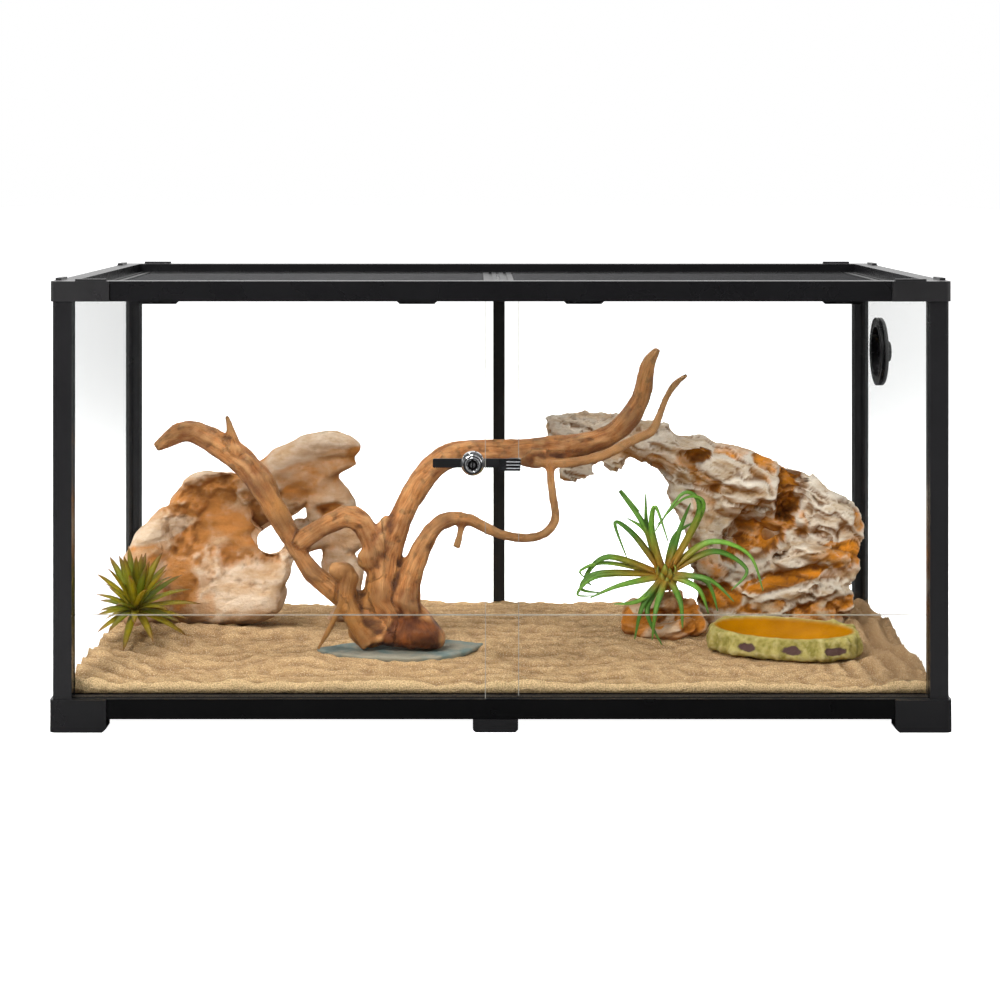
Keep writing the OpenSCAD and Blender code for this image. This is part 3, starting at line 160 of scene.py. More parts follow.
def lamp(name, place, aim, size, watts):
    """A soft rectangular lamp at a place, turned towards its aim."""
    data = bpy.data.lights.new(name, "AREA")
    data.shape = "RECTANGLE"
    data.size, data.size_y = size
    data.energy = watts
    light = bpy.data.objects.new(name, data)
    light.location = place
    light.rotation_euler = (Vector(aim) - Vector(place)).to_track_quat("-Z", "Y").to_euler()
    scene.collection.objects.link(light)


lamp("front_lamp", (-1.3, -2.2, 1.9), (0, 0, 0.2), (0.9, 0.7), 74)
lamp("side_lamp", (1.9, -1.2, 1.2), (0, 0, 0.2), (0.9, 0.9), 16)
lamp("top_lamp", (-0.3, 0.2, 2.1), (0, 0, 0), (1.0, 0.7), 92)

table_mesh = bpy.data.meshes.new("table_top")
table_mesh.from_pydata([(-9, -5, 0), (9, -5, 0), (9, 40, 0), (-9, 40, 0)], [], [(0, 1, 2, 3)])
table = bpy.data.objects.new("table_top", table_mesh)
scene.collection.objects.link(table)
table_paint, tree, shader = new_material("white_table", 0.7)
ray = add_node(tree, "ShaderNodeLightPath")
seen = worked_out(tree, "MAXIMUM", ray.outputs["Is Camera Ray"], ray.outputs["Is Transmission Ray"])
shader.inputs["Emission Color"].default_value = (1, 1, 1, 1)
link(tree, seen, shader.inputs["Emission Strength"])
# Glossy things mirror the table darker than it is
mirrored = worked_out(tree, "SUBTRACT", ray.outputs["Is Glossy Ray"], ray.outputs["Is Transmission Ray"],
                      clamp=True)
link(tree, blend_colour(tree, mirrored, (0.86, 0.86, 0.86), (0.04, 0.04, 0.04)), shader.inputs["Base Color"])
table_mesh.materials.append(table_paint)

# ---------------------------------------------------------------- black frame
# Extruded rails and posts with a smooth satin black coat, joined at moulded corners.
# The coat has a faint orange peel, and a little dust settles on the faces that look up.


def node_group(name, inputs, outputs):
    """An empty shader group with named sockets, and its input and output nodes."""
    group = bpy.data.node_groups.new(name, "ShaderNodeTree")
    for label, kind, value in inputs:
        socket = group.interface.new_socket(label, in_out="INPUT", socket_type="NodeSocket" + kind)
        socket.default_value = value
    for label, kind in outputs:
        group.interface.new_socket(label, in_out="OUTPUT", socket_type="NodeSocket" + kind)
    return group, group.nodes.new("NodeGroupInput"), group.nodes.new("NodeGroupOutput")


# Cloudy patches: 0 to 1 over the surface, with their size in patches per metre
mottle, given, result = node_group(
    "mottle",
    [("Scale", "Float", 100.0), ("Detail", "Float", 3.0), ("Low", "Float", 0.4), ("High", "Float", 0.6)],
    [("Mask", "Float")])
spot = add_node(mottle, "ShaderNodeTexCoord")
cloud = add_node(mottle, "ShaderNodeTexNoise")
spread = add_node(mottle, "ShaderNodeMapRange")
link(mottle, spot.outputs["Object"], cloud.inputs["Vector"])
link(mottle, given.outputs["Scale"], cloud.inputs["Scale"])
link(mottle, given.outputs["Detail"], cloud.inputs["Detail"])
link(mottle, cloud.outputs["Fac"], spread.inputs["Value"])
link(mottle, given.outputs["Low"], spread.inputs["From Min"])
link(mottle, given.outputs["High"], spread.inputs["From Max"])
link(mottle, spread.outputs["Result"], result.inputs["Mask"])

# Dust that settles on faces that look up, thicker in patches
settled_dust, given, result = node_group(
    "settled_dust", [("Amount", "Float", 0.1), ("Scale", "Float", 60.0)], [("Mask", "Float")])
facing = add_node(settled_dust, "ShaderNodeNewGeometry").outputs["Normal"]
level = ranged(settled_dust, part_along(settled_dust, "Z", facing), 0.0, 1.0, 0.6, 1.0)
patches = add_node(settled_dust, "ShaderNodeGroup", node_tree=mottle)
patches.inputs["Low"].default_value = 0.2
patches.inputs["High"].default_value = 0.8
link(settled_dust, given.outputs["Scale"], patches.inputs["Scale"])
settled = worked_out(settled_dust, "MULTIPLY", level, patches.outputs["Mask"])
dusty = worked_out(settled_dust, "MULTIPLY", settled, given.outputs["Amount"])
link(settled_dust, dusty, result.inputs["Mask"])


def patch(tree, scale, low=0.4, high=0.6, detail=3.0):
    """A placed mottle group; returns its mask."""
    group = add_node(tree, "ShaderNodeGroup", node_tree=mottle)
    for label, value in (("Scale", scale), ("Detail", detail), ("Low", low), ("High", high)):
        group.inputs[label].default_value = value
    return group.outputs["Mask"]


def raise_bumps(tree, shader, height, distance, strength=1.0, under=None):
    """Relief of a distance in metres, over the relief under it."""
    bump = add_node(tree, "ShaderNodeBump")
    bump.inputs["Distance"].default_value = distance
    bump.inputs["Strength"].default_value = strength
    link(tree, height, bump.inputs["Height"])
    if under is not None:
        link(tree, under.outputs["Normal"], bump.inputs["Normal"])
    link(tree, bump.outputs["Normal"], shader.inputs["Normal"])
    return bump


def black_finish(name, colour, dull, peel, dust, shine=0.0, mirror=0.3):
    """A black surface: its roughness, the size of its peel per metre, its dust, its top coat and
    how strongly it mirrors."""
    material, tree, shader = new_material(name, specular=mirror)
    film = add_node(tree, "ShaderNodeGroup", node_tree=settled_dust)
    film.inputs["Amount"].default_value = dust
    clouded = patch(tree, 12, 0.2, 0.8)
    tone = blend_colour(tree, clouded, colour, tuple(c * 1.5 for c in colour))
    link(tree, blend_colour(tree, film.outputs["Mask"], tone, (0.34, 0.33, 0.31)),
         shader.inputs["Base Color"])
    link(tree, ranged(tree, patch(tree, 25, 0.3, 0.7), dull * 0.9, dull * 1.1), shader.inputs["Roughness"])
    shader.inputs["Coat Weight"].default_value = shine
    shader.inputs["Coat Roughness"].default_value = 0.12
    raise_bumps(tree, shader, patch(tree, peel, 0.2, 0.8, 2.0), 0.000008, 0.3)
    return material


def dress(names, material, bevel=0.0):
    """Gives CAD nodes a finish, and softens their edges by a bevel in metres."""
    for name in names:
        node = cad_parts[name]
        if not node.material_slots:
            node.data.materials.append(material)
        for place in node.material_slots:
            place.material = material
        if bevel:
            soft = node.modifiers.new("soft_edges", "BEVEL")
            soft.width = bevel
            soft.segments = 2
            soft.limit_method = "ANGLE"
            soft.angle_limit = math.radians(40)


def like(*starts):
    """The names of the CAD nodes that start so."""
    return [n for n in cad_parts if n.startswith(starts)]


# The posts and the top caps are a lighter black than the top rails, as painted light, and the base rails a
# darker black, as painted shade.
satin_black = black_finish("satin_black", (0.0040, 0.0039, 0.0045), 0.27, 900, 0.03, 0.05)
post_black = black_finish("post_coat", (0.0065, 0.0063, 0.0070), 0.25, 900, 0.03, 0.15, 0.6)
base_black = black_finish("base_coat", (0.0018, 0.0018, 0.0020), 0.30, 900, 0.03, 0.0, 0.12)
corner_black = black_finish("moulded_black", (0.0065, 0.0063, 0.0070), 0.30, 1400, 0.04, 0.10)
cap_black = black_finish("cap_coat", (0.0110, 0.0105, 0.0112), 0.30, 1400, 0.04, 0.15, 0.6)
matt_black = black_finish("matt_black", (0.0050, 0.0050, 0.0052), 0.55, 1800, 0.02)
dress(like("top_rail", "top_centre_bar"), satin_black, 0.0007)
dress(like("base_rail"), base_black, 0.0007)
dress(like("post_"), post_black, 0.0028)
dress(["back_strip"], matt_black, 0.0005)
dress(like("foot_front", "foot_back", "middle_foot"), corner_black, 0.0012)
dress(like("top_cap"), cap_black, 0.0010)

# ---------------------------------------------------------------- door tracks and pile
# Black extruded tracks, fixed along the front of the tank, that the two glass doors run in.
# A short dark brush pile is glued along the lower one.
dress(["lower_door_track", "upper_door_track"], matt_black, 0.0003)

pile, tree, shader = new_material("brush_pile", 0.95)
tufts = patch(tree, 700, 0.35, 0.65, 4.0)
link(tree, blend_colour(tree, tufts, (0.012, 0.009, 0.007), (0.06, 0.045, 0.03)), shader.inputs["Base Color"])
raise_bumps(tree, shader, tufts, 0.0006)
dress(["track_pile"], pile)

# ---------------------------------------------------------------- foot screws
# Small zinc plated steel screws.
# They are driven in from below, and hold the corner feet.
zinc, tree, shader = new_material("zinc_plate", metallic=1.0)
smears = patch(tree, 500, 0.3, 0.7)
link(tree, blend_colour(tree, smears, (0.42, 0.43, 0.44), (0.62, 0.63, 0.65)), shader.inputs["Base Color"])
link(tree, ranged(tree, smears, 0.25, 0.45), shader.inputs["Roughness"])
dress(["foot_screws"], zinc)

# ---------------------------------------------------------------- glass panes and doors
# Clear float glass with polished edges, which are a little green. The light that the door edges and the low
# pane's top edge catch is a painted glow.
# The panes are set in the frame, and the two doors slide in the tracks.


def pane_finish(name, edge_colour, edge_dull, thin_axis, bend=1.08, lit_line=None):
    """Clear glass whose narrow edges are ground; thin_axis is the axis through the pane, and bend its
    refraction. lit_line is the axis and place in metres of a ground edge, whose bright line is a painted
    glow."""
    material, tree, shader = new_material(name)
    facing = add_node(tree, "ShaderNodeNewGeometry").outputs["True Normal"]
    edge = ranged(tree, worked_out(tree, "ABSOLUTE", part_along(tree, thin_axis, facing)), 1.0, 0.0, 0.4, 0.6)
    smudge = ranged(tree, patch(tree, 14, 0.45, 0.85), 0.0, 0.02)
    dulled = worked_out(tree, "MAXIMUM", smudge, ranged(tree, edge, 0.0, edge_dull))
    link(tree, dulled, shader.inputs["Roughness"])
    tone = blend_colour(tree, edge, (0.99, 0.995, 0.992), edge_colour)
    if lit_line:
        axis, place = lit_line
        spot = add_node(tree, "ShaderNodeTexCoord").outputs["Object"]
        line = worked_out(tree, "COMPARE", part_along(tree, axis, spot), place, lit_line_half_w)
        tone = blend_colour(tree, line, tone, line_tint)
        # Painted glow: the line gives light of its own, standing for the light that the ground edge catches.
        link(tree, blend_colour(tree, line, (0, 0, 0), line_light), shader.inputs["Emission Color"])
        shader.inputs["Emission Strength"].default_value = 1.0
        material.cycles.emission_sampling = "NONE"
    link(tree, tone, shader.inputs["Base Color"])
    shader.inputs["Transmission Weight"].default_value = 1.0
    shader.inputs["IOR"].default_value = bend
    clear = add_node(tree, "ShaderNodeBsdfTransparent")
    clear.inputs["Color"].default_value = (0.985, 0.99, 0.986, 1)
    # Shadows, soft light and mirrored light pass straight through
    ray = add_node(tree, "ShaderNodeLightPath")
    mirrored = worked_out(tree, "SUBTRACT", ray.outputs["Is Glossy Ray"], ray.outputs["Is Transmission Ray"],
                          clamp=True)
    soft = worked_out(tree, "MAXIMUM", ray.outputs["Is Shadow Ray"], ray.outputs["Is Diffuse Ray"])
    choose = add_node(tree, "ShaderNodeMixShader")
    link(tree, worked_out(tree, "MAXIMUM", soft, mirrored), choose.inputs["Fac"])
    link(tree, shader.outputs[0], choose.inputs[1])
    link(tree, clear.outputs[0], choose.inputs[2])
    link(tree, choose.outputs[0], tree.nodes["Material Output"].inputs["Surface"])
    return material


lit_line_half_w = 0.00035
# What a bright line lets through, and its painted glow, which stands for the light that it gathers from the
# room
line_tint = (0.285, 0.28, 0.26)
line_light = (0.22, 0.214, 0.19)
edge_green = (0.80, 0.93, 0.88)
door_edge = (0.90, 0.97, 0.94)
left_door_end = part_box("door_left")[1][0] - lit_line_half_w
right_door_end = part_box("door_right")[0][0] + lit_line_half_w
low_glass_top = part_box("low_front_glass")[1][2] - lit_line_half_w
dress(like("back_glass"), pane_finish("back_pane_glass", edge_green, 0.1, "Y"))
dress(like("side_glass"), pane_finish("side_pane_glass", edge_green, 0.1, "X", 1.14))
dress(["bottom_glass"], pane_finish("floor_pane_glass", edge_green, 0.1, "Z"))
dress(["low_front_glass"], pane_finish("low_pane_glass", edge_green, 0.1, "Y", lit_line=("Z", low_glass_top)))
dress(["door_left"], pane_finish("left_door_glass", door_edge, 0.25, "Y", lit_line=("X", left_door_end)))
dress(["door_right"], pane_finish("right_door_glass", door_edge, 0.25, "Y", lit_line=("X", right_door_end)))

# ---------------------------------------------------------------- side vent
# Moulded black rings clamp the vent in a round hole in the side glass.
# A shutter behind its grille is turned by a knob outside.
vent_black = black_finish("vent_black", (0.006, 0.006, 0.0065), 0.28, 1600, 0.02, 0.2)
dress(["vent_inner_ring", "vent_grille", "vent_shutter"], vent_black, 0.0004)

# ---------------------------------------------------------------- door lock
# A toothed bar of blackened steel on the inner door, with a gloss sleeve over its end.
# A chrome plated barrel slides along the bar, and a turned steel key plug locks it.
bar_steel = black_finish("blackened_steel", (0.006, 0.006, 0.007), 0.32, 1500, 0.0, 0.1)
dress(["lock_bar"], bar_steel, 0.0002)
sleeve_gloss = black_finish("gloss_sleeve", (0.005, 0.005, 0.006), 0.14, 800, 0.0, 0.5)
dress(["lock_sleeve"], sleeve_gloss, 0.0003)

barrel_low, barrel_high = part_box("lock_barrel")
barrel_axis = ((barrel_low[0] + barrel_high[0]) / 2, 0, (barrel_low[2] + barrel_high[2]) / 2)
barrel_radius = (barrel_high[2] - barrel_low[2]) / 2
plug_radius = barrel_radius * 0.48


def mapped(tree, vector, **settings):
    """Coordinates that are moved, turned or scaled."""
    node = add_node(tree, "ShaderNodeMapping")
    link(tree, vector, node.inputs["Vector"])
    for label, value in settings.items():
        node.inputs[label].default_value = value
    return node.outputs[0]


def across_face(tree):
    """The way from the lock's axis to each place on its face, and how far that is."""
    spot = add_node(tree, "ShaderNodeTexCoord").outputs["Object"]
    flat = add_node(tree, "ShaderNodeVectorMath", operation="MULTIPLY")
    flat.inputs[1].default_value = (1, 0, 1)
    radius = add_node(tree, "ShaderNodeVectorMath", operation="LENGTH")
    link(tree, mapped(tree, spot, Location=tuple(-c for c in barrel_axis)), flat.inputs[0])
    link(tree, flat.outputs[0], radius.inputs[0])
    return flat.outputs[0], radius.outputs["Value"]


def turned_rings(tree, radius, outside, middle, stops):
    """Grey rings from the axis outwards, whose dark greys are painted shade: the grey in the middle, then
    each ring's place and grey.
    """
    rings = add_node(tree, "ShaderNodeValToRGB")
    rings.color_ramp.elements[0].color = (middle, middle, middle, 1)
    for place, grey in stops:
        rings.color_ramp.elements.new(place).color = (grey, grey, grey, 1)
    link(tree, ranged(tree, radius, 0, 1, 0, outside), rings.inputs[0])
    return rings.outputs[0]


chrome, tree, shader = new_material("chrome_plate", metallic=1.0)
fine = patch(tree, 240, 0.3, 0.7)
link(tree, ranged(tree, fine, 0.05, 0.12), shader.inputs["Roughness"])
_, radius = across_face(tree)
# The dark bands between the turned rings, and round the key plug, are painted shade; the same rings give the
# bump.
rings = turned_rings(tree, radius, barrel_radius, 0.0, (
    (0.50, 0.2), (0.54, 1.0), (0.62, 1.0), (0.66, 0.1), (0.76, 0.1), (0.80, 1.0), (0.92, 1.0), (0.97, 0.5)))
plating = blend_colour(tree, fine, (0.66, 0.67, 0.69), (0.82, 0.83, 0.85))
link(tree, blend_colour(tree, rings, (0.03, 0.03, 0.032), plating), shader.inputs["Base Color"])
raise_bumps(tree, shader, rings, 0.0008)
dress(["lock_barrel"], chrome, 0.0005)

# Painted shade darkens the recessed face and the key slot; the rim and the lips on both sides of the slot are
# left bright, as painted highlights
key_steel, tree, shader = new_material("key_plug_steel", metallic=1.0)
turned = patch(tree, 900, 0.3, 0.7)
way, radius = across_face(tree)
recess = turned_rings(tree, radius, plug_radius, 0.9, (
    (0.10, 0.9), (0.42, 0.9), (0.48, 0.0), (0.84, 0.0), (0.90, 1.0)))
key_slot = ranged(tree, worked_out(tree, "ABSOLUTE", part_along(tree, "X", way)), 0.0, 1.0, 0.0005, 0.0008)
bright = worked_out(tree, "MULTIPLY", recess, key_slot)
steel = blend_colour(tree, turned, (0.5, 0.5, 0.52), (0.68, 0.68, 0.7))
link(tree, blend_colour(tree, bright, (0.012, 0.012, 0.013), steel), shader.inputs["Base Color"])
link(tree, ranged(tree, turned, 0.18, 0.32), shader.inputs["Roughness"])
raise_bumps(tree, shader, turned, 0.00002)
dress(["lock_plug"], key_steel, 0.0002)


def new_mesh(points, faces):
    """A mesh of its own, which new_piece names."""
    mesh = bpy.data.meshes.new("blank")
    mesh.from_pydata([tuple(p) for p in points], [], [tuple(f) for f in faces])
    return mesh


def new_piece(name, mesh, material, body, replaced=(), smooth=True):
    """A mesh with its finish, on its body, standing for the CAD nodes that it replaces."""
    mesh.name = name
    mesh.materials.clear()
    mesh.materials.append(material)
    if smooth:
        mesh.polygons.foreach_set("use_smooth", [True] * len(mesh.polygons))
    piece = bpy.data.objects.new(name, mesh)
    scene.collection.objects.link(piece)
    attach(piece, body)
    if replaced:
        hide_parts(*replaced)
    return piece


# Three rounded grip ribs along the sleeve's outer half
sleeve_low, sleeve_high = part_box("lock_sleeve")
rib_radius = 0.0006
rib_pitch = 0.0033
rib_sunk = 0.0002
# The profile of a rib: its distance from the sleeve's inner end in metres, and its share of the radius
rib_ends = ((0.0070, 0.2), (0.0076, 0.8), (0.0086, 1.0), (0.0206, 1.0), (0.0214, 0.8), (0.0219, 0.2))
round_steps = 8
ring = round_steps + 1
points, faces = [], []
for row in (-1, 0, 1):
    middle = (sleeve_low[2] + sleeve_high[2]) / 2 + row * rib_pitch
    first = len(points)
    for x, share in rib_ends:
        for k in range(ring):
            turn = math.pi * k / round_steps
            y = sleeve_low[1] + rib_sunk - rib_radius * 0.8 * share * math.sin(turn)
            points.append((sleeve_low[0] + x, y, middle + rib_radius * share * math.cos(turn)))
    for i in range(len(rib_ends) - 1):
        a = first + i * ring
        for k in range(round_steps):
            faces.append((a + k, a + k + ring, a + k + ring + 1, a + k + 1))
        faces.append((a, a + round_steps, a + round_steps + ring, a + ring))
    faces.append(tuple(range(first, first + ring)))
    faces.append(tuple(reversed(range(len(points) - ring, len(points)))))
# The ribs are painted light grey: painted highlight lines on the gloss black sleeve.
rib_polish, tree, shader = new_material("worn_ribs", 0.2)
link(tree, blend_colour(tree, patch(tree, 700, 0.3, 0.7), (0.16, 0.16, 0.17), (0.42, 0.42, 0.44)),
     shader.inputs["Base Color"])
new_piece("sleeve_ribs", new_mesh(points, faces), rib_polish, "left_door")

# ---------------------------------------------------------------- screen lids
# Black coated frames, each with a screen woven from coated wire.
# Moulded clips keep each lid down on the top rails.
lid_black = black_finish("lid_coat", (0.007, 0.007, 0.0075), 0.34, 1000, 0.05, 0.1)
dress(like("lid_frame"), lid_black, 0.0006)
dress(like("lid_clips"), matt_black, 0.0004)

wire_pitch = 0.0014
wire_half_w = 0.0003
wire_coat, tree, shader = new_material("coated_wire", 0.6, 0.08)
link(tree, blend_colour(tree, patch(tree, 60, 0.3, 0.7), (0.012, 0.012, 0.0125), (0.02, 0.02, 0.021)),
     shader.inputs["Base Color"])


def woven_screen(name, node_name, body):
    """Straight four-sided wires both ways, one layer just above the other, inside the node's box."""
    low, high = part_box(node_name)
    points, faces = [], []
    for along, across, height in ((0, 1, low[2] + wire_half_w), (1, 0, high[2] - wire_half_w)):
        count = int((high[across] - low[across]) / wire_pitch)
        for i in range(count):
            middle = low[across] + (i + 0.5) * (high[across] - low[across]) / count
            first = len(points)
            for end in (low[along], high[along]):
                for side, lift in ((-1, 0), (0, 1), (1, 0), (0, -1)):
                    p = [0, 0, height + lift * wire_half_w]
                    p[along] = end
                    p[across] = middle + side * wire_half_w
                    points.append(p)
            for k in range(4):
                after = (k + 1) % 4
                faces.append((first + k, first + after, first + 4 + after, first + 4 + k))
    new_piece(name, new_mesh(points, faces), wire_coat, body, [node_name], smooth=False)


woven_screen("left_screen_wires", "lid_screen_left", "left_lid")
woven_screen("right_screen_wires", "lid_screen_right", "right_lid")

# ---------------------------------------------------------------- sand
# Fine tan desert sand, loose on the floor, with wind-like ripples, dimples and small heaps
# pushed up against the rocks, the wood and the front corners.
sand_low, sand_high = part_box("sand_bed")
floor_glass_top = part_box("bottom_glass")[1][2]
rail_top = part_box("base_rail_front")[1][2]


def fractal(p, size, octaves=3, shift=0.0):
    """Smooth noise from about -1 to 1 at a place in metres, with features of the given size."""
    return noise.fractal(Vector((p[0] / size + shift, p[1] / size, p[2] / size)), 1.0, 2.1, octaves)


# Heaps and dips as (x, y, radius, height or depth) in metres
heaps = [(-0.40, 0.00, 0.07, 0.008), (-0.335, 0.02, 0.06, 0.006), (-0.25, 0.02, 0.07, 0.005),
         (-0.43, -0.13, 0.05, 0.007), (-0.385, -0.115, 0.018, 0.004), (-0.355, -0.105, 0.016, 0.004),
         (-0.325, -0.100, 0.016, 0.003), (0.43, -0.10, 0.05, 0.010), (0.43, 0.02, 0.05, 0.012),
         (0.42, 0.13, 0.07, 0.012), (0.25, 0.02, 0.05, 0.004), (0.13, -0.13, 0.05, 0.004),
         (-0.10, 0.02, 0.06, 0.005), (0.02, 0.10, 0.14, 0.005), (0.14, -0.02, 0.05, 0.005),
         (-0.22, -0.13, 0.06, 0.004)]
dips = [(-0.20, -0.17, 0.03, 0.004), (0.03, -0.15, 0.030, 0.004), (-0.34, -0.14, 0.030, 0.004),
        (0.17, -0.08, 0.035, 0.005), (0.01, -0.08, 0.030, 0.004), (0.36, -0.18, 0.03, 0.003),
        (0.09, -0.10, 0.022, 0.004), (0.22, -0.15, 0.025, 0.003), (0.07, -0.04, 0.04, 0.003)]
dish_low, dish_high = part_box("food_dish")
slate_low, slate_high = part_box("slate_base")
sand_level = 0.0440
level_under_slate = 0.0435
level_under_dish = 0.0437


def sand_top(x, y):
    """The height of the sand's surface at a place."""
    z = sand_level
    swing = fractal((x, y, 0), 0.09, 2, 5.0)
    z += 0.0042 * fractal((x * 0.5, y, 0), 0.045, 3, 9.4) + 0.0026 * fractal((x, y, 0), 0.016, 3, 3.1)
    z += 0.0013 * math.sin(2 * math.pi * (y + 0.22 * x * swing + 0.007 * swing) / 0.026) * (0.6 + 0.4 * swing)
    # Furrows run forwards beside the right wall
    beside = min(max((x - 0.34) / 0.04, 0.0), 1.0) * min(max((0.20 - abs(y)) / 0.07, 0.1), 1.0)
    z += 0.0048 * beside * math.sin(2 * math.pi * (x + 0.10 * y + 0.006 * swing) / 0.021)
    # Short ridges lean against the left wall
    leaning = min(max((-0.33 - x) / 0.06, 0.0), 1.0)
    z += 0.0022 * leaning * math.sin(2 * math.pi * (0.7 * x + y + 0.012 * swing) / 0.034)
    for places, way in ((heaps, 1), (dips, -1)):
        for cx, cy, r, h in places:
            z += way * h * math.exp(-((x - cx) ** 2 + (y - cy) ** 2) / (r * r))
    # The sand is pressed flat just under the slate and the dish, and has drifted over the slate's rim
    for low, high, floor, brim, drift in ((slate_low, slate_high, level_under_slate, 0.86, 0.0042),
                                          (dish_low, dish_high, level_under_dish, 1.12, 0.0)):
        middle = ((low[0] + high[0]) / 2, (low[1] + high[1]) / 2)
        reach = math.hypot((x - middle[0]) / (high[0] - low[0]), (y - middle[1]) / (high[1] - low[1])) * 2
        z = min(z, floor + 0.03 * max(0.0, reach - brim))
        z += drift * math.exp(-((reach - 1.02) / 0.16) ** 2) * (0.75 + 0.6 * swing)
    return z


def set_masks(mesh, **masks):
    """Stores values for the mesh's points, each under its name."""
    for name, values in masks.items():
        layer = mesh.attributes.new(name, "FLOAT", "POINT")
        layer.data.foreach_set("value", np.asarray(values, dtype=np.float32))


def mask_of(tree, name):
    """A value stored by set_masks."""
    return add_node(tree, "ShaderNodeAttribute", attribute_name=name).outputs["Fac"]


def layered(tree, tone, *layers):
    """The tone with colours laid over it. Each layer is a mask or the name of one stored in the mesh, how
    much of it shows at most, and its colour."""
    for mask, most, colour in layers:
        if isinstance(mask, str):
            mask = mask_of(tree, mask)
        tone = blend_colour(tree, ranged(tree, mask, 0.0, most), tone, colour)
    return tone


sand_pitch = 0.0030
floor_x = sand_high[0] - 0.0085
step_y = -0.1996
# The sand stands just clear of the floor glass, and steps up on to the rails round it
clearance = 0.0002
xs = np.concatenate([[sand_low[0], -floor_x - clearance],
                     np.linspace(-floor_x, floor_x, int(2 * floor_x / sand_pitch)),
                     [floor_x + clearance, sand_high[0]]])
ys = np.concatenate([[sand_low[1], step_y - clearance],
                     np.linspace(step_y, sand_high[1], int((sand_high[1] - step_y) / sand_pitch))])
nx, ny = len(xs), len(ys)
points = [(x, y, sand_top(x, y)) for y in ys for x in xs]
# How far each place lies below or above the sand round it, for painted shade in the troughs and painted light
# on the crests
surface = np.array([p[2] for p in points]).reshape(ny, nx)
reach = 5
side = 2 * reach + 1
around = np.pad(surface, reach, mode="edge")
around = sum(around[j:j + ny, i:i + nx] for j in range(side) for i in range(side)) / side ** 2
lower = ((around - surface) / 0.0016).ravel()
on_rails = 1e-5
points += [(x, y, clearance + (rail_top if abs(x) > floor_x + on_rails or y < step_y - on_rails
                               else floor_glass_top)) for y in ys for x in xs]
faces = []
for j in range(ny - 1):
    for i in range(nx - 1):
        a = j * nx + i
        faces.append((a, a + 1, a + nx + 1, a + nx))
        faces.append((nx * ny + a, nx * ny + a + nx, nx * ny + a + nx + 1, nx * ny + a + 1))
rim = ([(i, i + 1) for i in range(nx - 1)]
       + [(j * nx + nx - 1, (j + 1) * nx + nx - 1) for j in range(ny - 1)]
       + [((ny - 1) * nx + i + 1, (ny - 1) * nx + i) for i in range(nx - 2, -1, -1)]
       + [((j + 1) * nx, j * nx) for j in range(ny - 2, -1, -1)])
faces += [(a, nx * ny + a, nx * ny + b, b) for a, b in rim]

sand, tree, shader = new_material("desert_sand", 0.92, 0.05)
grains = patch(tree, 700, 0.36, 0.60, 2.0)
specks = patch(tree, 800, 0.58, 0.66, 1.0)
bands = patch(tree, 22, 0.35, 0.7, 4.0)
# Painted shade darkens the troughs, and painted light lightens the crests.
base = layered(tree, blend_colour(tree, bands, (0.66, 0.425, 0.205), (0.50, 0.31, 0.145)),
               ("trough", 0.75, (0.27, 0.155, 0.075)),
               ("crest", 0.6, (0.80, 0.55, 0.30)))
base = blend_colour(tree, ranged(tree, grains, 0.75, 0.0), base, (0.33, 0.18, 0.08))
# Specks, then painted shadow by the right wall
base = layered(tree, base,
               (specks, 0.6, (0.95, 0.76, 0.50)),
               ("damp", 0.7, (0.27, 0.165, 0.085)))
# Where it is pressed against the front glass it looks lighter
facing = add_node(tree, "ShaderNodeNewGeometry").outputs["True Normal"]
pressed = blend_colour(tree, grains, (0.56, 0.36, 0.175), (0.86, 0.61, 0.34))
at_glass = ranged(tree, part_along(tree, "Y", facing), 1.0, 0.0, -0.9, -0.6)
link(tree, blend_colour(tree, at_glass, base, pressed), shader.inputs["Base Color"])
coarse = raise_bumps(tree, shader, patch(tree, 120, 0.25, 0.75, 3.0), 0.0022, 0.9)
raise_bumps(tree, shader, grains, 0.0008, 0.9, coarse)
sand_mesh = new_mesh(points, faces)
new_piece("loose_sand", sand_mesh, sand, "terrarium", ["sand_bed"])
under = np.zeros(nx * ny)
# The sand is darker towards the right wall: painted shadow of the arch rock there
damp_start = 0.365
damp = np.clip((np.array([p[0] for p in points]) - damp_start) / 0.05, 0, 1)
set_masks(sand_mesh, damp=damp, trough=np.concatenate([np.clip(lower, 0, 1), under]),
          crest=np.concatenate([np.clip(-lower, 0, 1), under]))

# ---------------------------------------------------------------- slate
# A thin split slab of blue-grey slate, half buried in the sand.
# The driftwood stands on it, screwed to it from below.


def rows_of(items, what, width, kind=np.float64):
    """One value of each of a mesh's items, as rows of numbers."""
    values = np.empty(len(items) * width, dtype=kind)
    items.foreach_get(what, values)
    return values.reshape(-1, width)


def remeshed(node_name, voxel):
    """A CAD node's shape as an even skin of small faces."""
    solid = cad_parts[node_name].data
    solid.calc_loop_triangles()
    corners = rows_of(solid.loop_triangles, "vertices", 3, np.int32)
    mesh = new_mesh(rows_of(solid.vertices, "co", 3).tolist(), corners.tolist())
    blank = bpy.data.objects.new("blank", mesh)
    scene.collection.objects.link(blank)
    skin = blank.modifiers.new("skin", "REMESH")
    skin.mode = "VOXEL"
    skin.voxel_size = voxel
    made = bpy.data.meshes.new_from_object(blank.evaluated_get(bpy.context.evaluated_depsgraph_get()))
    bpy.data.objects.remove(blank)
    return made


